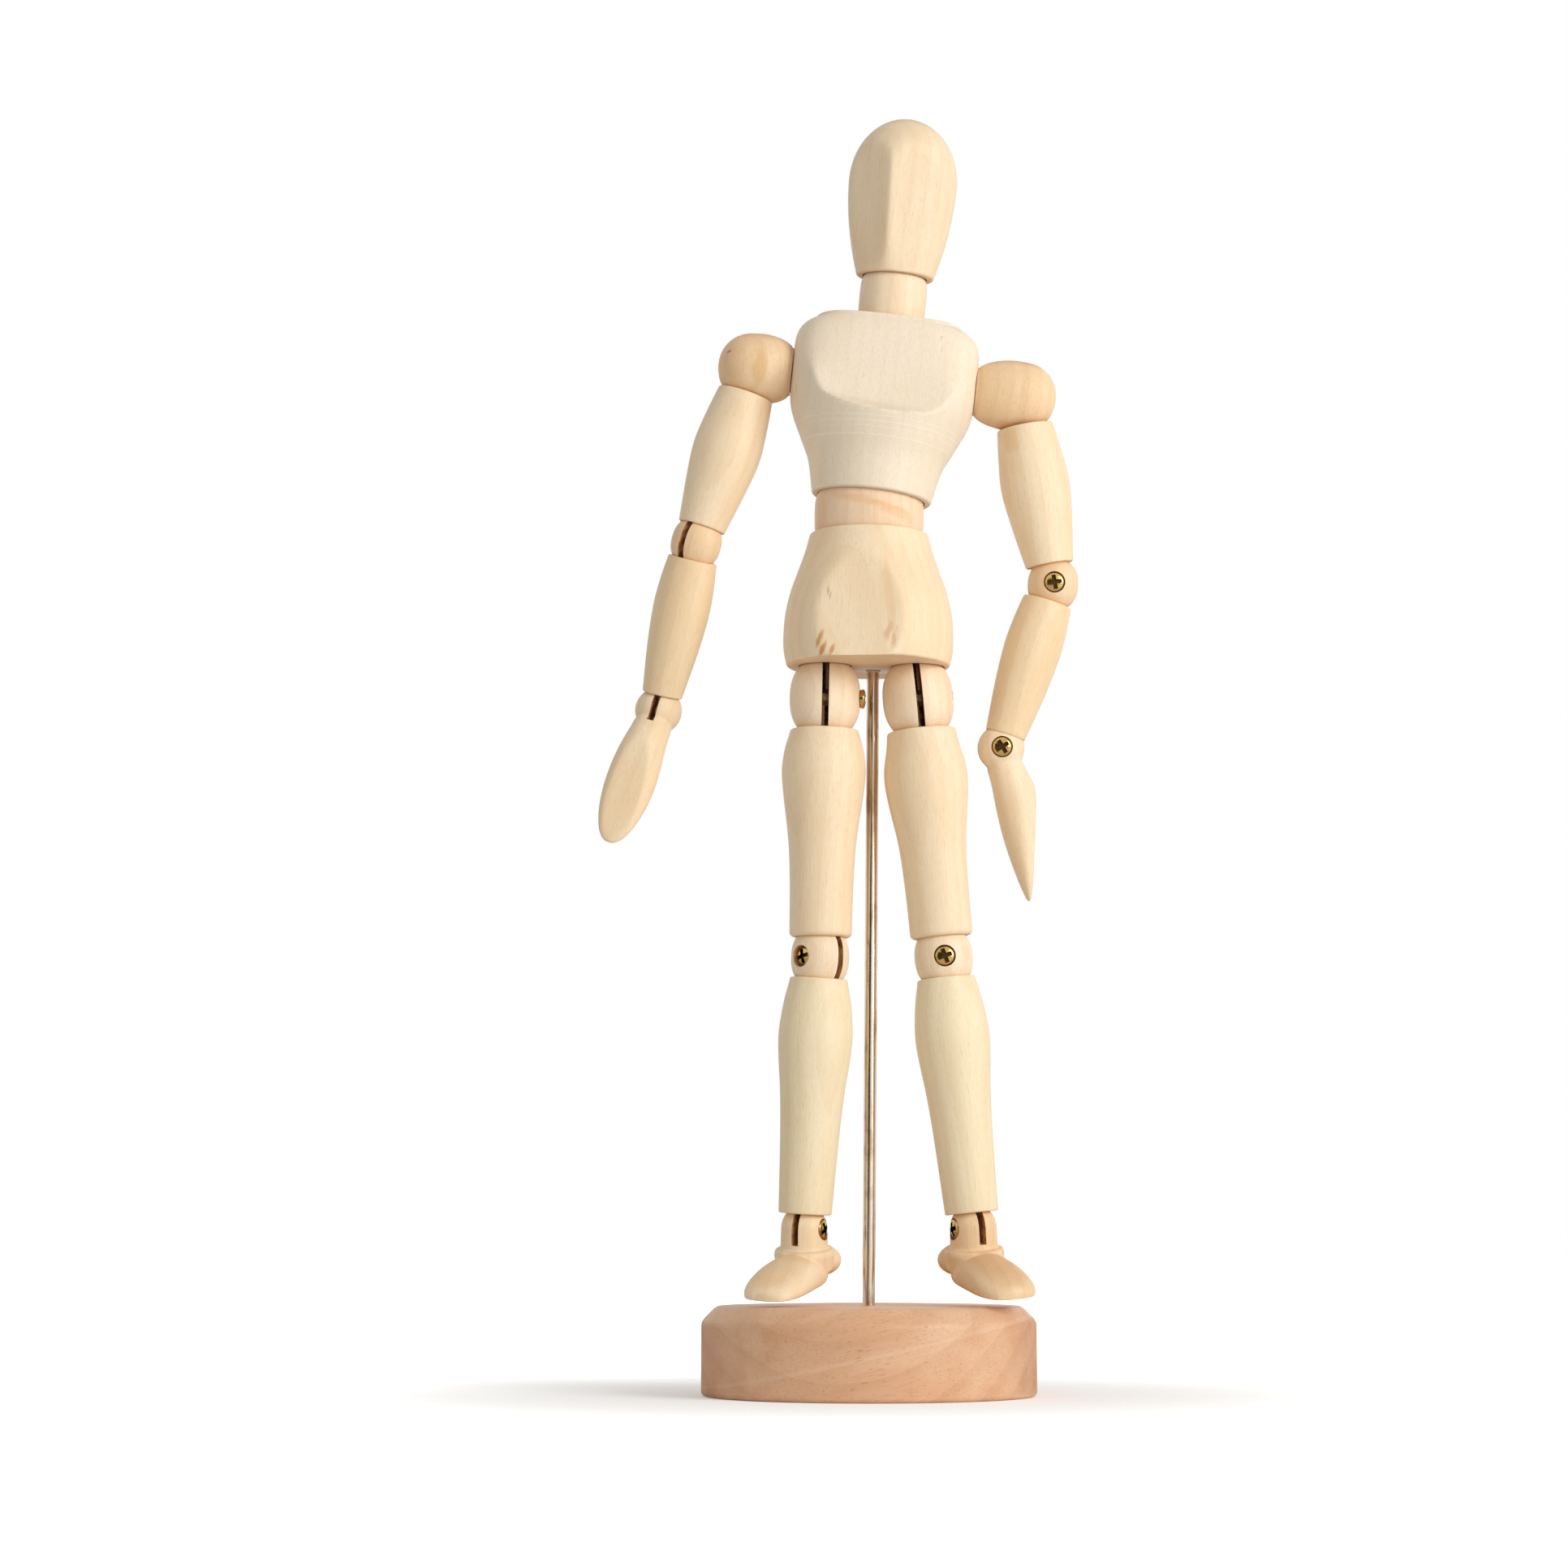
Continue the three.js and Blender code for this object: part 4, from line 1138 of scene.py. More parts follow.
@dataclass
class Torso:
    """The pelvis, the rocking waist ball, the chest, the neck ball and the head."""

    pelvis_height: float = 21.2
    pelvis_radii: tuple[Point, ...] = (
        (0, 9.5), (0.12, 10.15), (0.27, 11.2), (0.44, 12.4), (0.62, 13.2), (0.78, 13.45), (0.9, 13.4), (1, 13)
    )
    pelvis_front: float = 10.8
    pelvis_front_height: float = -8.5
    pelvis_front_lean: float = 4.3
    pelvis_front_turn: float = -7.6
    rod_beside: float = 0.9
    rod_behind: float = 4.0
    rod_socket: float = 1.2
    rod_top: float = -13.9
    waist_half: float = 6.5
    waist_bore: float = 2.65
    waist_mouth: float = 4.64
    torso_spring_depth: float = 12.4
    torso_spring_swing: float = 6.45
    torso_spring_reach: float = 11.8
    chest_height: float = 28.8
    chest_radii: tuple[Point, ...] = (
        (0, 9.6), (0.18, 10.75), (0.3, 12.3), (0.46, 14.35), (0.58, 15.05), (0.72, 15.3), (0.86, 15.15),
        (0.93, 14.4), (0.97, 13.4), (1, 12.0)
    )
    chest_side: float = 15.0
    chest_back: float = 11.2
    chest_front: tuple[Point, ...] = (
        (9.8, 20.5), (13.2, 15.7), (14.2, 14.2), (15.1, 12.9), (15.8, 11.9), (16.5, 11.2), (18.3, 10.5),
        (33, 7.7)
    )
    chest_front_softness: tuple[Point, ...] = (
        (9.8, 0.04), (17, 0.05), (19.5, 0.2), (22.5, 1.3), (26, 2.4), (33, 2.8)
    )
    chest_front_slant: float = 0.08
    lathe_lines: tuple[float, ...] = (10.8, 12.0, 12.8, 13.6)
    wire_above_waist: float = 22.1
    wire_bore: float = 1.2
    neck_half: float = 4.6
    neck_bore: float = 1.95
    neck_mouth: float = 4.0
    neck_spring_room: float = 2.8
    neck_spring_depth: float = 7.4
    neck_spring_swing: float = 5.2
    neck_spring_reach: float = 7.4
    head_height: float = 25.7
    head_radius: float = 8.7
    head_bottom: float = 6.3
    head_widest: float = 0.59
    head_nod: float = -4.0
    head_tilt: float = -0.2
    face_depth: float = 7.15
    face_height: float = 18.0
    face_lean: float = 4.5
    face_angle: float = 28.0
    face_softness: float = 0.22
    edge: float = 0.5

    def build(self) -> None:
        """Makes the torso from the pelvis up."""
        waist = Seat(joint_point("torso_turn"), -joint_axis("torso_bend"), joint_axis("torso_turn"))
        chest = Seat(joint_point("torso_lean"), -joint_axis("right_shoulder_turn"), joint_axis("head_turn"))
        neck = Seat(joint_point("head_turn"), -joint_axis("head_nod"), joint_axis("head_turn"))
        neck = neck.turned(FORWARD, self.head_nod)
        self.build_pelvis(waist)
        self.build_rocker("waist", WAIST, self.waist_half, self.waist_bore, self.waist_mouth, waist)
        self.build_chest(chest)
        self.build_rocker("neck", NECK, self.neck_half, self.neck_bore, self.neck_mouth, neck)
        self.build_head(neck.turned((0, 1, 0), self.head_tilt))

    def bell(self, radii: Sequence[Point], start: float, end: float, steps: int) -> list[Point]:
        """The outer side of a turned piece with rounded rims.

        Args:
            radii: Pairs of share of the height and radius.
            start: Height of the first end.
            end: Height of the other end.
            steps: How many stretches the side has.

        Returns:
            Points from the first rim to the other.
        """
        way = math.copysign(self.edge, end - start)
        first, last = radii[0][1], radii[-1][1]
        inner = [n / steps for n in range(1, steps)]
        side = [(eased(radii, share), start + way + (end - start - 2 * way) * share) for share in inner]
        rise = -90 if way > 0 else 90
        rim = arc(self.edge, rise, 0, 6, (first - self.edge, start + way))
        return [*rim, *side, *arc(self.edge, 0, -rise, 6, (last - self.edge, end - way))]

    def build_pelvis(self, seat: Seat) -> None:
        """Turns the pelvis, sands its front and cups it for the hips.

        Args:
            seat: Where it sits.
        """
        top, floor = -WAIST.face, -WAIST.face - self.pelvis_height
        outline = [
            *WAIST.socket(self.waist_bore, self.torso_spring_depth),
            *self.bell(self.pelvis_radii, top, floor, 60),
            *((self.pelvis_radii[-1][1] * share / 12, floor) for share in range(11, -1, -1)),
        ]
        shape = Blank().turn(outline, CARVED_STEPS)
        lean, turn = (math.radians(angle) for angle in (self.pelvis_front_lean, self.pelvis_front_turn))
        ahead = Vector((math.sin(turn), -math.cos(turn), 0))
        point = ahead * self.pelvis_front + Vector((0, 0, self.pelvis_front_height))
        shape.sand(point, ahead + Vector((0, 0, math.tan(lean))), ahead, 0.12)
        for side in Side:
            place = seat.matrix.inverted() @ joint_point(f"{side.word}_hip_upper_bend")
            hip = Matrix.Translation(place)
            reach = HIP.end + HARDWARE.tab_depth
            bore = [(0, 0), (HARDWARE.tab_bore, 0), (HARDWARE.tab_bore, reach), (0, reach)]
            cup = arc(HIP.end + CUP_CLEARANCE, -90, 90, 32)
            shape.cut(Blank().turn(cup, TURNED_STEPS).move(hip).paint(Face.SAWN))
            shape.cut(Blank().turn(bore, SMALL_STEPS).move(hip).paint(Face.SAWN))
        drill = [(0, -FAR), (self.rod_socket, -FAR), (self.rod_socket, self.rod_top), (0, self.rod_top)]
        rod = Matrix.Translation((self.rod_beside, self.rod_behind, 0))
        shape.cut(Blank().turn(drill, SMALL_STEPS).move(rod).paint(Face.SAWN))
        gouge, smear, glue = srgb(204, 134, 70), srgb(168, 138, 106), srgb(252, 248, 240)
        marks = [
            Mark((-7.8, -11, -21.4), (0.55, 4, 1.9), gouge, 0.8, 0.4, 20),
            Mark((-7.3, -11, -23.0), (0.55, 4, 1.6), gouge, 0.85, 0.4, 22),
            Mark((-5.9, -11, -23.2), (0.48, 4, 1.2), gouge, 0.75, 0.4, 24),
            Mark((3.0, -11, -20.2), (0.9, 4, 2.3), gouge, 0.45, 0.7, 24),
            Mark((3.8, -11, -21.7), (0.8, 4, 2.3), gouge, 0.45, 0.7, 6),
            Mark((3.2, -11, -16.5), (1.2, 4, 8.5), srgb(232, 188, 136), 0.4, 0.7, -7),
            Mark((-6.5, -11, -13.6), (0.24, 4, 1.4), smear, 0.55, 0.6, 4),
            Mark((-6.2, -11, -14.6), (0.2, 4, 1.0), smear, 0.5, 0.6, 10),
            Mark((0, 0, -10.2), (14, 14, 0.18), srgb(255, 244, 224), 0.6, 0.15),
            Mark((1.2, 3.2, -24), (4.6, 4.2, 1.2), glue, 0.85, 0.7),
        ]
        finish = LIMB_WOOD.dress("pelvis", seat, marks)
        shape.fit("pelvis", seat, LIMB_WOOD.slot, [finish, sawn])

    def build_rocker(self, node: str, ball: Ball, half: float, bore: float, mouth: float, seat: Seat) -> None:
        """Turns a ball with flat ends and a hole that opens towards both of them.

        Args:
            node: The ball's node.
            ball: Its sizes.
            half: Half its length.
            bore: The hole's radius in the middle.
            mouth: The hole's radius at both ends.
            seat: Where it sits.
        """
        reach = math.degrees(math.asin((half - self.edge * 0.3) / ball.end))
        side = [
            (lesser(radius, ball.barrel, 0.02 + 0.3 * (ball.end - ball.barrel)), height)
            for radius, height in arc(ball.end, -reach, reach, 24)
        ]
        flat = side[0][0] - self.edge
        hole = [(mouth, half), (bore, 0), (mouth, -half)]
        outline = [(mouth, -half), (flat, -half), *side, (flat, half), *hole]
        marks = []
        if node == "waist":
            stain = srgb(230, 176, 120)
            marks = [
                Mark((-0.5, -8, 1.0), (8.0, 5, 0.9), stain, 0.4, 0.6, 13),
                Mark((4.2, -8, -0.6), (6.0, 5, 1.2), stain, 0.4, 0.7, 20),
            ]
        finish = (WAIST_WOOD if node == "waist" else JOINT_WOOD).dress(node, seat, marks)
        Blank().turn(outline, TURNED_STEPS).fit(node, seat, JOINT_WOOD.slot, [finish, sawn])

    def build_chest(self, seat: Seat) -> None:
        """Turns the chest, sands its sides and back and mills its front.

        Args:
            seat: Where it sits.
        """
        floor, top = WAIST.face, WAIST.face + self.chest_height
        centre = top + NECK.face
        waist_socket = WAIST.socket(self.torso_spring_swing, self.torso_spring_reach)
        neck_socket = NECK.socket(self.neck_spring_room, self.neck_spring_depth)
        outline = [
            *((radius, -height) for radius, height in waist_socket),
            *self.bell(self.chest_radii, floor, top, 72),
            *((radius, centre + height) for radius, height in reversed(neck_socket)),
        ]
        shape = Blank().turn(outline, CARVED_STEPS)
        for way in (-1, 1):
            shape.sand((way * self.chest_side, 0, 0), (way, 0, 0), (way, 0, 0), 0.3)
        shape.sand((0, self.chest_back, 0), (0, 1, 0), (0, 1, 0), 0.2)
        shape.mill(self.chest_front, self.chest_front_softness, self.chest_front_slant)
        drill = [(0, -FAR), (self.wire_bore, -FAR), (self.wire_bore, FAR), (0, FAR)]
        across = Matrix.Translation((0, 0, self.wire_above_waist)) @ Matrix.Rotation(math.tau / 4, 4, "Y")
        shape.cut(Blank().turn(drill, SMALL_STEPS).move(across).paint(Face.SAWN))
        lathe = srgb(255, 250, 238)
        marks = [Mark((0, 0, height), (22, 22, 0.15), lathe, 0.42, 0.4) for height in self.lathe_lines]
        marks.append(Mark((8.3, -9, 28.6), (0.1, 4, 0.45), srgb(140, 100, 66), 0.7, 0.5, 4))
        marks.append(Mark((8.5, -9, 26.6), (0.1, 4, 0.8), srgb(176, 140, 104), 0.5, 0.5, 4))
        finish = CHEST_WOOD.dress("chest", seat, marks)
        shape.fit("chest", seat, CHEST_WOOD.slot, [finish, sawn])

    def build_head(self, seat: Seat) -> None:
        """Turns the egg-shaped head and sands the two flats of its face.

        Args:
            seat: Where it sits.
        """
        low, widest = NECK.face, self.head_widest
        steps = 40
        side = []
        for step in range(1, steps + 1):
            share = widest * step / steps
            drop = ((widest - share) / widest) ** 1.9
            radius = self.head_radius - (self.head_radius - self.head_bottom) * drop
            side.append((radius, low + self.edge + (self.head_height - self.edge) * share))
        middle = side[-1][1]
        crown = [
            (self.head_radius * math.cos(angle), middle + (low + self.head_height - middle) * math.sin(angle))
            for angle in (math.radians(90 * step / 28) for step in range(1, 29))
        ]
        socket = NECK.socket(self.neck_spring_swing, self.neck_spring_reach)
        rim = arc(self.edge, -90, 0, 6, (self.head_bottom - self.edge, low + self.edge))
        outline = [*((radius, -height) for radius, height in socket), *rim, *side, *crown]
        shape = Blank().turn(outline, CARVED_STEPS)
        for way in (-1, 1):
            angle = math.radians(way * self.face_angle)
            ahead = Vector((math.sin(angle), -math.cos(angle), 0))
            point = ahead * self.face_depth + UP * self.face_height
            facing = ahead - UP * math.tan(math.radians(self.face_lean))
            shape.sand(tuple(point), tuple(facing), tuple(ahead), self.face_softness)
        finish = HEAD_WOOD.dress("head", seat)
        shape.fit("head", seat, HEAD_WOOD.slot, [finish, sawn])


@dataclass
class Arm:
    """A shoulder ball, upper arm, elbow ball, forearm and hand, with their screws."""

    side: Side
    hand_bend: float
    elbow: Screw
    wrist: Screw
    marks: dict[str, list[Mark]] = field(default_factory=dict)
    inner_length: float = 6.05
    upper_arm: Limb = Limb(
        SHOULDER, ELBOW, 29.6, ((0, 4.5), (0.18, 5.05), (0.42, 5.5), (0.64, 5.05), (1, 3.85)), 0.25
    )
    forearm: Limb = Limb(
        ELBOW, WRIST, 27.5, ((0, 3.95), (0.16, 4.35), (0.36, 4.55), (0.65, 4.15), (1, 3.25)), 0.25
    )
    inner_radii: tuple[Point, ...] = ((-1, 3.9), (-0.75, 4.85), (-0.45, 5.42), (-0.2, 5.6), (0, 5.56))
    slot_inner: float = 1.95
    wire_bore: float = 0.65
    wire_end: float = -2.4
    sections: tuple[tuple[float, float, float, float], ...] = (
        (1.6, 2.9, 2.6, 2.6), (3.2, 3.2, 3.1, 2.9), (4.9, 3.25, 3.6, 2.6), (7.6, 3.6, 4.5, 2.6),
        (10.9, 4.0, 4.2, 2.55), (14.6, 4.15, 3.4, 2.3), (18.7, 3.75, 2.5, 1.7), (22.2, 2.8, 1.4, 1.0),
        (24.0, 1.8, 0.6, 0.5), (24.8, 0.7, 0.25, 0.25),
    )
    slot_depth: float = 3.6
    palm_top: Point = (-4.3, -7.6)
    palm_tip: Point = (-0.4, -24.9)

    def joint(self, name: str) -> str:
        """A joint's or node's full name on this side."""
        return f"{self.side.word}_{name}"

    def build(self) -> None:
        """Makes the arm from the shoulder down."""
        shoulder = joint_point(self.joint("shoulder_turn"))
        across = -joint_axis(self.joint("shoulder_turn"))
        behind = joint_axis(self.joint("shoulder_lift")) * -self.side.value
        upper = Seat(shoulder, across, joint_axis(self.joint("shoulder_twist")) * self.side.value)
        self.build_shoulder(Seat(shoulder, across, across.cross(behind)))
        self.fit_limb("upper_arm", self.upper_arm, upper)
        elbow = joint_point(self.joint("elbow_upper_bend"))
        lower_z = joint_axis(self.joint("elbow_twist")) * self.side.value
        hinge = -joint_axis(self.joint("elbow_upper_bend"))
        self.build_elbow(Seat(elbow, hinge, upper.z.normalized() + lower_z))
        self.fit_limb("forearm", self.forearm, Seat(elbow, hinge, lower_z))
        wrist = Seat(joint_point(self.joint("wrist_bend")), -joint_axis(self.joint("wrist_bend")), lower_z)
        self.build_hand(wrist.turned(FORWARD, self.hand_bend))

    def fit_limb(self, part: str, limb: Limb, seat: Seat) -> None:
        """Turns one length of the arm and dresses it.

        Args:
            part: The piece's name.
            limb: Its sizes.
            seat: Where it sits.
        """
        node = self.joint(part)
        wood = FOREARM_WOOD if part == "forearm" else LIMB_WOOD
        finish = wood.dress(node, seat, self.marks.get(part, ()))
        limb.shape().fit(node, seat, wood.slot, [finish, sawn])

    def build_shoulder(self, seat: Seat) -> None:
        """Turns the shoulder ball, which lies across, and slots it for its tab.

        Args:
            seat: Where it sits.
        """
        rim = arc(0.3, -90, 0, 5, (self.inner_radii[0][1] - 0.3, 0.3 - self.inner_length))
        inner = [(eased(self.inner_radii, -n / 24), -self.inner_length * n / 24) for n in range(22, 0, -1)]
        outer = [point for point in SHOULDER.outline(60) if point[1] >= 0]
        outline = [(0, -self.inner_length), *rim, *inner, *outer]
        way = self.side.value
        ball = Blank().turn(outline, TURNED_STEPS).move(Matrix.Rotation(math.radians(90 * way), 4, "Y"))
        half = HARDWARE.single_slot
        ends = sorted((-self.slot_inner * way, FAR * way))
        slot = Blank().block((ends[0], -half, -FAR), (ends[1], half, HARDWARE.tab_eye)).paint(Face.SAWN)
        drill = [(0, -FAR), (self.wire_bore, -FAR), (self.wire_bore, self.wire_end), (0, self.wire_end)]
        bore = Blank().turn(drill, SMALL_STEPS).paint(Face.SAWN)
        bore.move(Matrix.Rotation(math.radians(90 * way), 4, "Y"))
        back = Matrix.Rotation(-math.tau / 4, 4, "Z")
        ball.cut(slot, bore, HARDWARE.hole(SHOULDER, -1, 0).move(back))
        node = self.joint("shoulder_ball")
        finish = SHOULDER_WOOD.dress(node, seat, self.marks.get("shoulder_ball", ()))
        ball.fit(node, seat, SHOULDER_WOOD.slot, [finish, sawn])
        screw = HARDWARE.screw(SHOULDER, -1, 0, 20).move(back)
        HARDWARE.fit_screw(self.joint("shoulder_screw"), seat, screw)

    def build_elbow(self, seat: Seat) -> None:
        """Turns the elbow ball, saws its slot and sets its screw."""
        fit_slotted_ball(self.joint("elbow"), ELBOW, self.elbow, seat, SHOULDER_WOOD)

    def build_hand(self, seat: Seat) -> None:
        """Carves the hand with its wrist ball and its flat palm.

        Args:
            seat: Where it sits.
        """
        rings = []
        for below, half, palm, back in self.sections:
            place = Matrix.Translation((0, (back - palm) / 2, -below))
            rings.append(place @ Matrix.Diagonal((half, (back + palm) / 2, 1, 1)))
        paddle = Blank().loft(rings, 24).refine(2)
        hand = Blank().turn(WRIST.outline(), TURNED_STEPS).join(paddle).blur(0.2, 5)
        (top_y, top_z), (tip_y, tip_z) = self.palm_top, self.palm_tip
        normal = (0, tip_z - top_z, top_y - tip_y)
        hand.sand((0, top_y, top_z), normal, normal, 0.1)
        self.fit_end(hand, "hand", "wrist", WRIST, self.wrist, seat)

    def fit_end(self, shape: Blank, part: str, joint: str, ball: Ball, screw: Screw, seat: Seat) -> None:
        """Slots and drills a carved end piece and sets its screw.

        Args:
            shape: The carved piece.
            part: The piece's name.
            joint: The name of its joint.
            ball: The ball at its top.
            screw: How its screw sits.
            seat: Where the piece sits.
        """
        shape.cut(HARDWARE.top_slot(self.slot_depth), HARDWARE.hole(ball, screw.head, screw.proud))
        node = self.joint(part)
        finish = LIMB_WOOD.dress(node, seat, self.marks.get(part, ()))
        shape.fit(node, seat, LIMB_WOOD.slot, [finish, sawn])
        brass_screw = HARDWARE.screw(ball, screw.head, screw.proud, screw.twist)
        HARDWARE.fit_screw(self.joint(f"{joint}_screw"), seat, brass_screw)


def fit_slotted_ball(joint: str, ball: Ball, screw: Screw, seat: Seat, wood: Wood = JOINT_WOOD) -> None:
    """Makes the ball between two lengths of a limb, with its screw.

    Args:
        joint: The joint's name.
        ball: The ball's sizes.
        screw: How its screw sits.
        seat: Where the ball sits.
        wood: What it is turned from.
    """
    shape = HARDWARE.slotted_ball(ball).cut(HARDWARE.hole(ball, screw.head, screw.proud))
    finish = wood.dress(f"{joint}_ball", seat)
    shape.fit(f"{joint}_ball", seat, wood.slot, [finish, sawn])
    brass_screw = HARDWARE.screw(ball, screw.head, screw.proud, screw.twist)
    HARDWARE.fit_screw(f"{joint}_screw", seat, brass_screw)


@dataclass
class Leg:
    """A hip ball, thigh, knee ball, shin and foot, with their screws."""

    side: Side
    foot_bend: float
    hip: Screw
    knee: Screw
    ankle: Screw
    foot_wood: Wood
    marks: dict[str, list[Mark]] = field(default_factory=dict)
    thigh: Limb = Limb(
        HIP, KNEE, 41.1, ((0, 5.45), (0.1, 6.3), (0.22, 6.6), (0.55, 5.35), (0.76, 5), (1, 4.9)), 0.35, 0.75
    )
    shin: Limb = Limb(
        KNEE, ANKLE, 42.1, ((0, 4.55), (0.12, 5.4), (0.26, 5.8), (0.5, 5), (0.68, 4.6), (1, 4.15))
    )
    sections: tuple[tuple[float, float, float, float], ...] = (
        (-2.2, -4.6, -9.6, 3.4), (0, -3.6, -10.2, 4.2), (3, -3.3, -10.4, 4.5), (7, -3.6, -10.4, 4.8),
        (10, -4.4, -10.4, 4.9), (13, -5.4, -10.4, 4.5), (15, -6.5, -10.2, 3.5), (16, -7.3, -9.7, 2.2),
    )
    heel: tuple[Triple, Triple] = ((4.4, 3.0, 2.7), (0, 4.0, -5.6))
    collar: tuple[Point, ...] = (
        (0, 0), (3.6, 0), (3.7, -3.0), (4.5, -3.3), (4.7, -4.0), (4.4, -6.5), (0, -6.5)
    )
    sole: float = -8.6
    slot_depth: float = 2.2

    def joint(self, name: str) -> str:
        """A joint's or node's full name on this side."""
        return f"{self.side.word}_{name}"

    def build(self) -> None:
        """Makes the leg from the hip down."""
        way = self.side.value
        hip, knee = joint_point(self.joint("hip_upper_bend")), joint_point(self.joint("knee_upper_bend"))
        thigh_z = joint_axis(self.joint("hip_twist")) * way
        shin_z = joint_axis(self.joint("knee_twist")) * way
        hip_x, knee_x = -joint_axis(self.joint("hip_upper_bend")), -joint_axis(self.joint("knee_upper_bend"))
        fit_slotted_ball(self.joint("hip"), HIP, self.hip, Seat(hip, hip_x, thigh_z))
        self.fit_limb("thigh", self.thigh, Seat(hip, hip_x, thigh_z), LIMB_WOOD)
        fit_slotted_ball(self.joint("knee"), KNEE, self.knee, Seat(knee, knee_x, thigh_z + shin_z))
        self.fit_limb("shin", self.shin, Seat(knee, knee_x, shin_z), SHIN_WOOD)
        ankle = Seat(joint_point(self.joint("ankle_bend")), -joint_axis(self.joint("ankle_bend")), shin_z)
        self.build_foot(ankle.turned(FORWARD, self.foot_bend))

    def fit_limb(self, part: str, limb: Limb, seat: Seat, wood: Wood) -> None:
        """Turns one length of the leg and dresses it.

        Args:
            part: The piece's name.
            limb: Its sizes.
            seat: Where it sits.
            wood: What it is turned from.
        """
        node = self.joint(part)
        finish = wood.dress(node, seat, self.marks.get(part, ()))
        limb.shape().fit(node, seat, wood.slot, [finish, sawn])

    def build_foot(self, seat: Seat) -> None:
        """Carves the foot with its heel, its collar and its ankle ball.

        Args:
            seat: Where it sits.
        """
        rings = []
        upright = Matrix.Rotation(math.tau / 4, 4, "X")
        for ahead, top, bottom, half in self.sections:
            place = Matrix.Translation((0, -ahead, (top + bottom) / 2)) @ upright
            rings.append(place @ Matrix.Diagonal((half, (top - bottom) / 2, 1, 1)))
        tread = Blank().loft(rings, 24).refine(2)
        heel = Blank().ball(self.heel[0], self.heel[1], 32)
        collar = Blank().turn(self.collar, TURNED_STEPS)
        foot = Blank().turn(ANKLE.outline(), TURNED_STEPS).join(collar, tread, heel).blur(0.2, 6)
        foot.sand((0, 0, self.sole), (0, 0, -1), (0, 0, -1), 0.15)
        slot = HARDWARE.top_slot(self.slot_depth)
        foot.cut(slot, HARDWARE.hole(ANKLE, self.ankle.head, self.ankle.proud))
        node = self.joint("foot")
        finish = self.foot_wood.dress(node, seat, self.marks.get("foot", ()))
        foot.fit(node, seat, self.foot_wood.slot, [finish, sawn])
        screw = HARDWARE.screw(ANKLE, self.ankle.head, self.ankle.proud, self.ankle.twist)
        HARDWARE.fit_screw(self.joint("ankle_screw"), seat, screw)


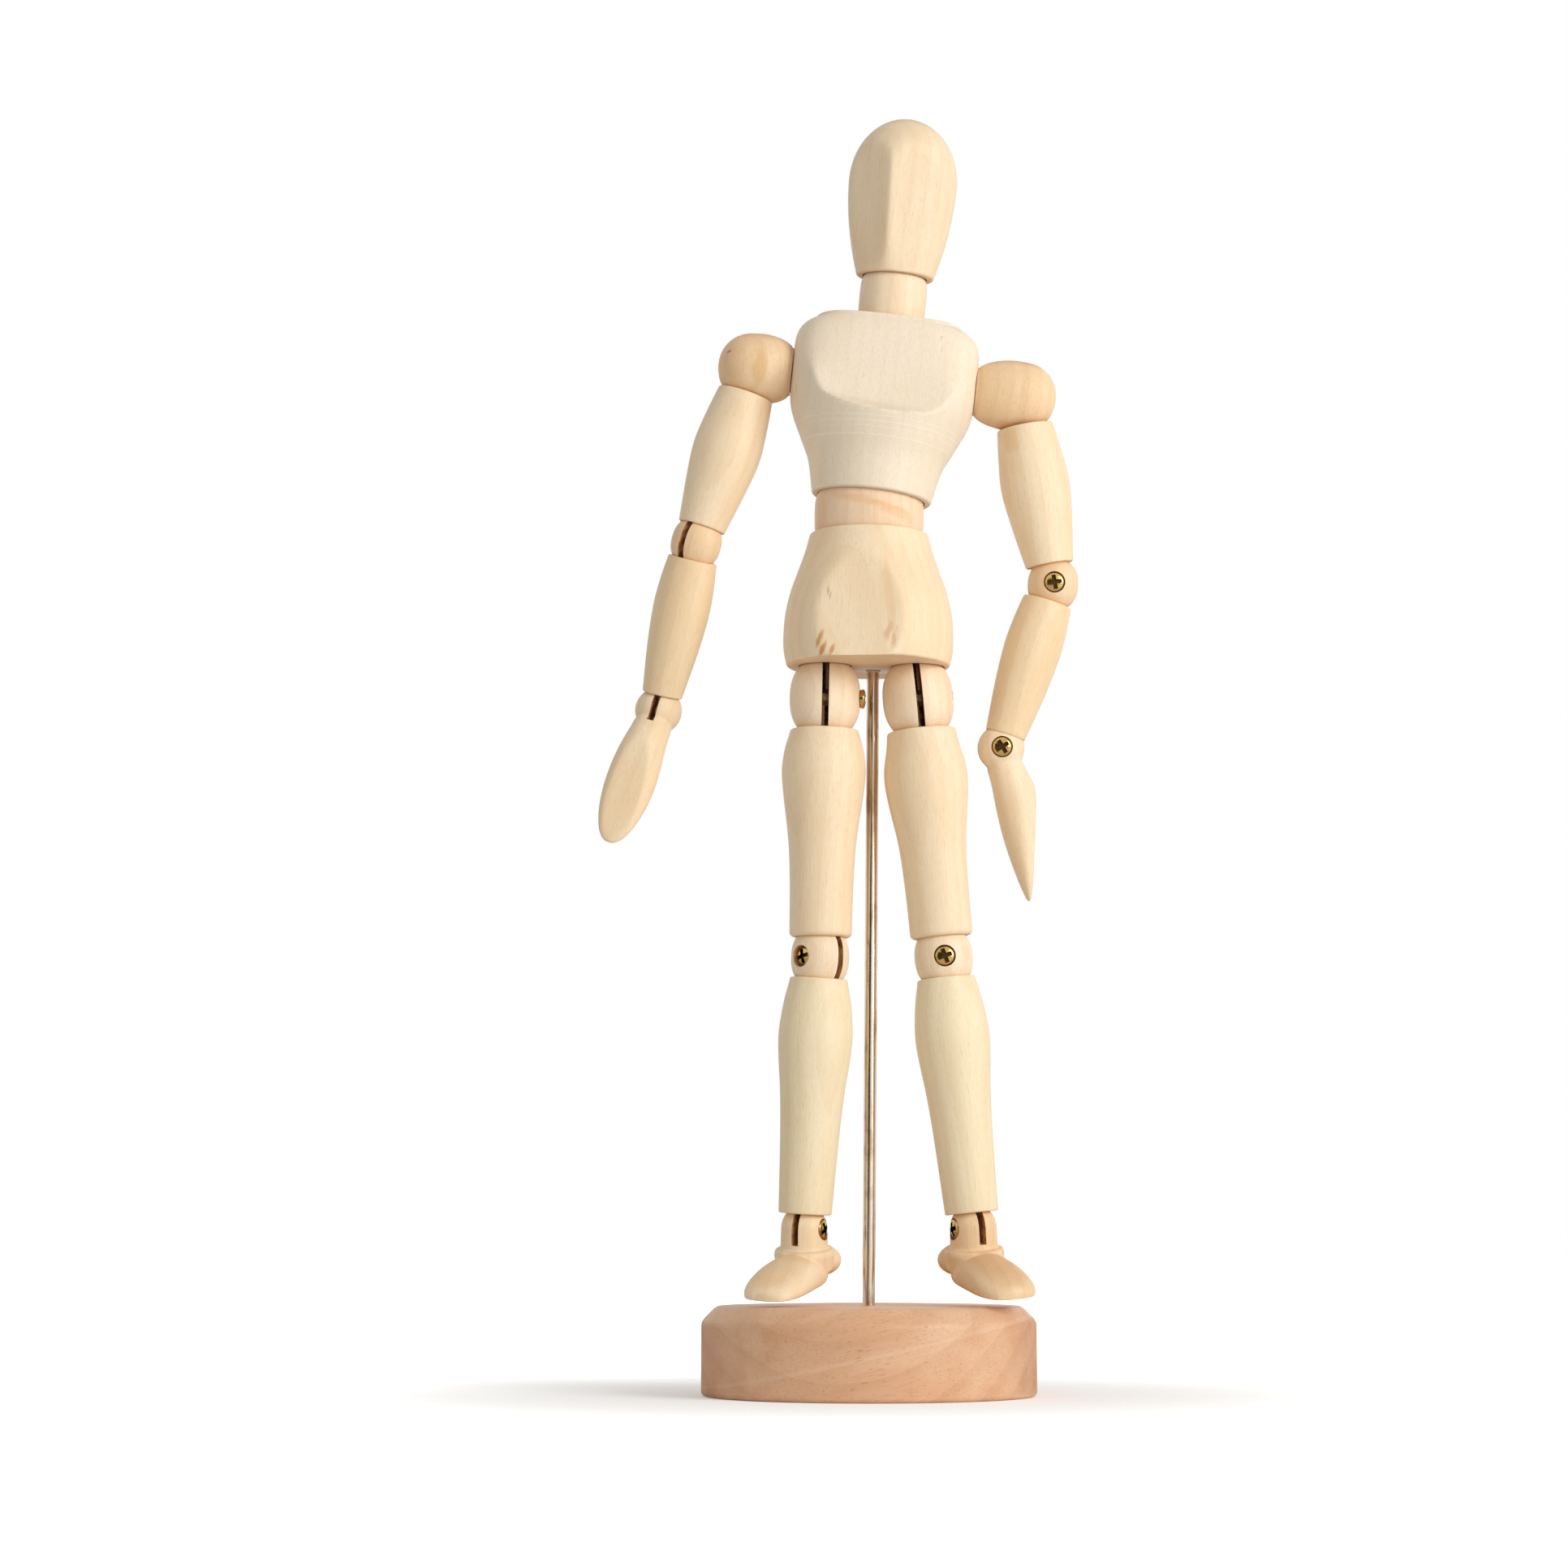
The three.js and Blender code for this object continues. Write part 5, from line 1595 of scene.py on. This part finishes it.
@dataclass
class Studio:
    """A white floor, soft light and the camera, low in front of the figure."""

    aim: Triple = (-13.2, -4.0, 95.3)
    distance: float = 560.0
    pitch: float = 7.2
    lens_share: float = 0.14568
    floor_radius: float = 3000.0
    world_light: float = 0.5
    world_colour: Triple = (1.0, 0.972, 0.935)
    key_power: float = 3.0
    key_place: Triple = (480.0, -480.0, 300.0)
    key_size: float = 420.0
    key_target: Triple = (0.0, 0.0, 110.0)
    sensor: float = 36.0
    floor_tone: float = 0.9
    floor_fade: Point = (0.03, 0.17)
    floor_glow: Point = (0.22, 0.9)
    card_half: float = 220.0
    card_place: Triple = (-200.0, -560.0, 100.0)
    card_target: Triple = (0.0, 0.0, 100.0)
    card_colour: Triple = (0.02, 0.018, 0.015)

    def build(self) -> None:
        """Sets up the view and everything around the object."""
        settings = bpy.context.scene.view_settings
        settings.view_transform = "Standard"
        self.build_camera()
        self.build_world()
        self.build_key()
        self.build_floor()
        self.build_card()

    def look(self, thing: Object, place: Vector, target: Vector) -> None:
        """Puts a camera or light at a place, in metres, facing a target.

        Args:
            thing: The camera, light or card.
            place: Where it goes.
            target: What it faces.
        """
        thing.location = place
        thing.rotation_mode = "QUATERNION"
        thing.rotation_quaternion = (target - place).to_track_quat("-Z", "Y")
        bpy.context.scene.collection.objects.link(thing)

    def build_camera(self) -> None:
        """Looks at the figure from slightly below, from far enough to keep it straight."""
        camera = bpy.data.cameras.new("camera")
        camera.sensor_width = self.sensor
        camera.lens = self.distance * self.lens_share
        thing = bpy.data.objects.new("camera", camera)
        tip = math.radians(self.pitch)
        aim = Vector(self.aim) * MM
        back = Vector((0, -math.cos(tip), -math.sin(tip))) * self.distance * MM
        self.look(thing, aim + back, aim)
        bpy.context.scene.camera = thing

    def build_world(self) -> None:
        """White all round for the eye, and a softer white for the light."""
        world = bpy.data.worlds.new("white")
        world.use_nodes = True
        nodes, links = world.node_tree.nodes, world.node_tree.links
        nodes.clear()
        path = nodes.new("ShaderNodeLightPath")
        rays = path.outputs["Is Diffuse Ray"]
        level = nodes.new("ShaderNodeMapRange")
        level.inputs["To Min"].default_value = 1
        level.inputs["To Max"].default_value = self.world_light
        links.new(rays, level.inputs["Value"])
        tint = nodes.new("ShaderNodeMix")
        tint.data_type = "RGBA"
        tint.inputs[6].default_value = (1, 1, 1, 1)
        tint.inputs[7].default_value = (*self.world_colour, 1)
        links.new(rays, tint.inputs[0])
        background = nodes.new("ShaderNodeBackground")
        links.new(tint.outputs[2], background.inputs["Color"])
        links.new(level.outputs[0], background.inputs["Strength"])
        output = nodes.new("ShaderNodeOutputWorld")
        links.new(background.outputs[0], output.inputs["Surface"])
        bpy.context.scene.world = world

    def build_key(self) -> None:
        """A broad light from the front right, above."""
        light = bpy.data.lights.new("key", "AREA")
        light.shape = "DISK"
        light.size = self.key_size * MM
        light.energy = self.key_power
        thing = bpy.data.objects.new("key", light)
        self.look(thing, Vector(self.key_place) * MM, Vector(self.key_target) * MM)

    def build_floor(self) -> None:
        """A wide floor that takes the shadow and fades to pure white."""
        mesh = bmesh.new()
        bmesh.ops.create_circle(mesh, cap_ends=True, segments=64, radius=self.floor_radius * MM)
        data = bpy.data.meshes.new("floor")
        mesh.to_mesh(data)
        mesh.free()
        floor = bpy.data.objects.new("floor", data)
        bpy.context.scene.collection.objects.link(floor)
        bench = Bench("floor")
        bench.shader.inputs["Base Color"].default_value = (*[self.floor_tone] * 3, 1)
        bench.shader.inputs["Roughness"].default_value = 0.9
        bench.shader.inputs["Specular IOR Level"].default_value = 0
        bench.shader.inputs["Emission Color"].default_value = (1, 1, 1, 1)
        path = bench.nodes.new("ShaderNodeLightPath")
        place = bench.nodes.new("ShaderNodeTexCoord").outputs["Object"]
        far = bench.between(bench.vector("LENGTH", place), *self.floor_fade)
        near_glow, more_glow = self.floor_glow
        glow = bench.maths("MULTIPLY_ADD", far, more_glow)
        bench.wire(glow.node.inputs[2], near_glow)
        seen = bench.maths("MULTIPLY", glow, path.outputs["Is Camera Ray"])
        bench.wire(bench.shader.inputs["Emission Strength"], seen)
        data.materials.append(bench.material)

    def build_card(self) -> None:
        """A dark card beside the camera that only shows in the metal."""
        mesh = bmesh.new()
        bmesh.ops.create_grid(mesh, x_segments=1, y_segments=1, size=self.card_half * MM)
        data = bpy.data.meshes.new("card")
        mesh.to_mesh(data)
        mesh.free()
        card = bpy.data.objects.new("card", data)
        self.look(card, Vector(self.card_place) * MM, Vector(self.card_target) * MM)
        bench = Bench("card")
        bench.shader.inputs["Base Color"].default_value = (*self.card_colour, 1)
        bench.shader.inputs["Specular IOR Level"].default_value = 0
        data.materials.append(bench.material)
        card.visible_camera = False
        card.visible_diffuse = False
        card.visible_shadow = False


def build_arms() -> None:
    """Makes the right arm, and the left one, whose joints hang a little loose."""
    knot = Mark((-4.2, -3.5, 1.6), (0.55, 4, 0.24), srgb(166, 102, 54), 0.9, 0.5, -28)
    grain = Mark((1.0, -5, 0), (1.6, 4, 4), srgb(226, 172, 104), 0.4, 0.8)
    stain = Mark((-3.0, -4, -7.2), (2.6, 3, 2.6), srgb(230, 178, 116), 0.3, 0.9)
    right = Arm(
        side=Side.RIGHT,
        hand_bend=32.4,
        elbow=Screw(-1, 0, 10),
        wrist=Screw(-1, 0, 25),
        marks={"shoulder_ball": [knot, grain]},
    )
    left = Arm(
        side=Side.LEFT,
        hand_bend=28.0,
        elbow=Screw(1, 0, 14),
        wrist=Screw(-1, 0, 22),
        marks={"upper_arm": [stain]},
        inner_length=7.15,
        upper_arm=replace(
            Arm.upper_arm,
            above=replace(SHOULDER, end=5.95, face=4.95),
            below=replace(ELBOW, face=3.15),
            length=30.6,
        ),
        forearm=replace(
            Arm.forearm, above=replace(ELBOW, face=2.95), below=replace(WRIST, face=2.2), length=27.4
        ),
    )
    right.build()
    left.build()


def build_legs() -> None:
    """Makes the right leg, and the left one, whose thigh leaves room for the wrist beside it."""
    toe = Mark((-0.6, -14.8, -7.9), (1.1, 1.4, 0.8), srgb(212, 148, 82), 0.6, 0.7)
    slim_top = (
        (0, 5.45), (0.06, 5.72), (0.1, 5.98), (0.15, 6.34), (0.2, 6.54), (0.26, 6.54), (0.36, 6.2),
        (0.55, 5.35), (0.76, 5), (1, 4.9)
    )
    right = Leg(
        side=Side.RIGHT,
        foot_bend=-9.0,
        hip=Screw(1, 0.9, 8),
        knee=Screw(-1, -0.5, 15),
        ankle=Screw(1, 0, 20),
        foot_wood=LIMB_WOOD,
        marks={"foot": [toe]},
    )
    left = Leg(
        side=Side.LEFT,
        foot_bend=-11.0,
        hip=Screw(1, 0, 8),
        knee=Screw(-1, 0, 15),
        ankle=Screw(-1, 0, 20),
        foot_wood=SHOULDER_WOOD,
        thigh=replace(Leg.thigh, radii=slim_top),
    )
    right.build()
    left.build()


def main() -> None:
    """Builds every piece in order, then the studio."""
    logging.basicConfig(level=logging.INFO, format="%(message)s")
    Stand().build()
    Torso().build()
    build_arms()
    build_legs()
    Studio().build()


if __name__ == "__main__":
    main()
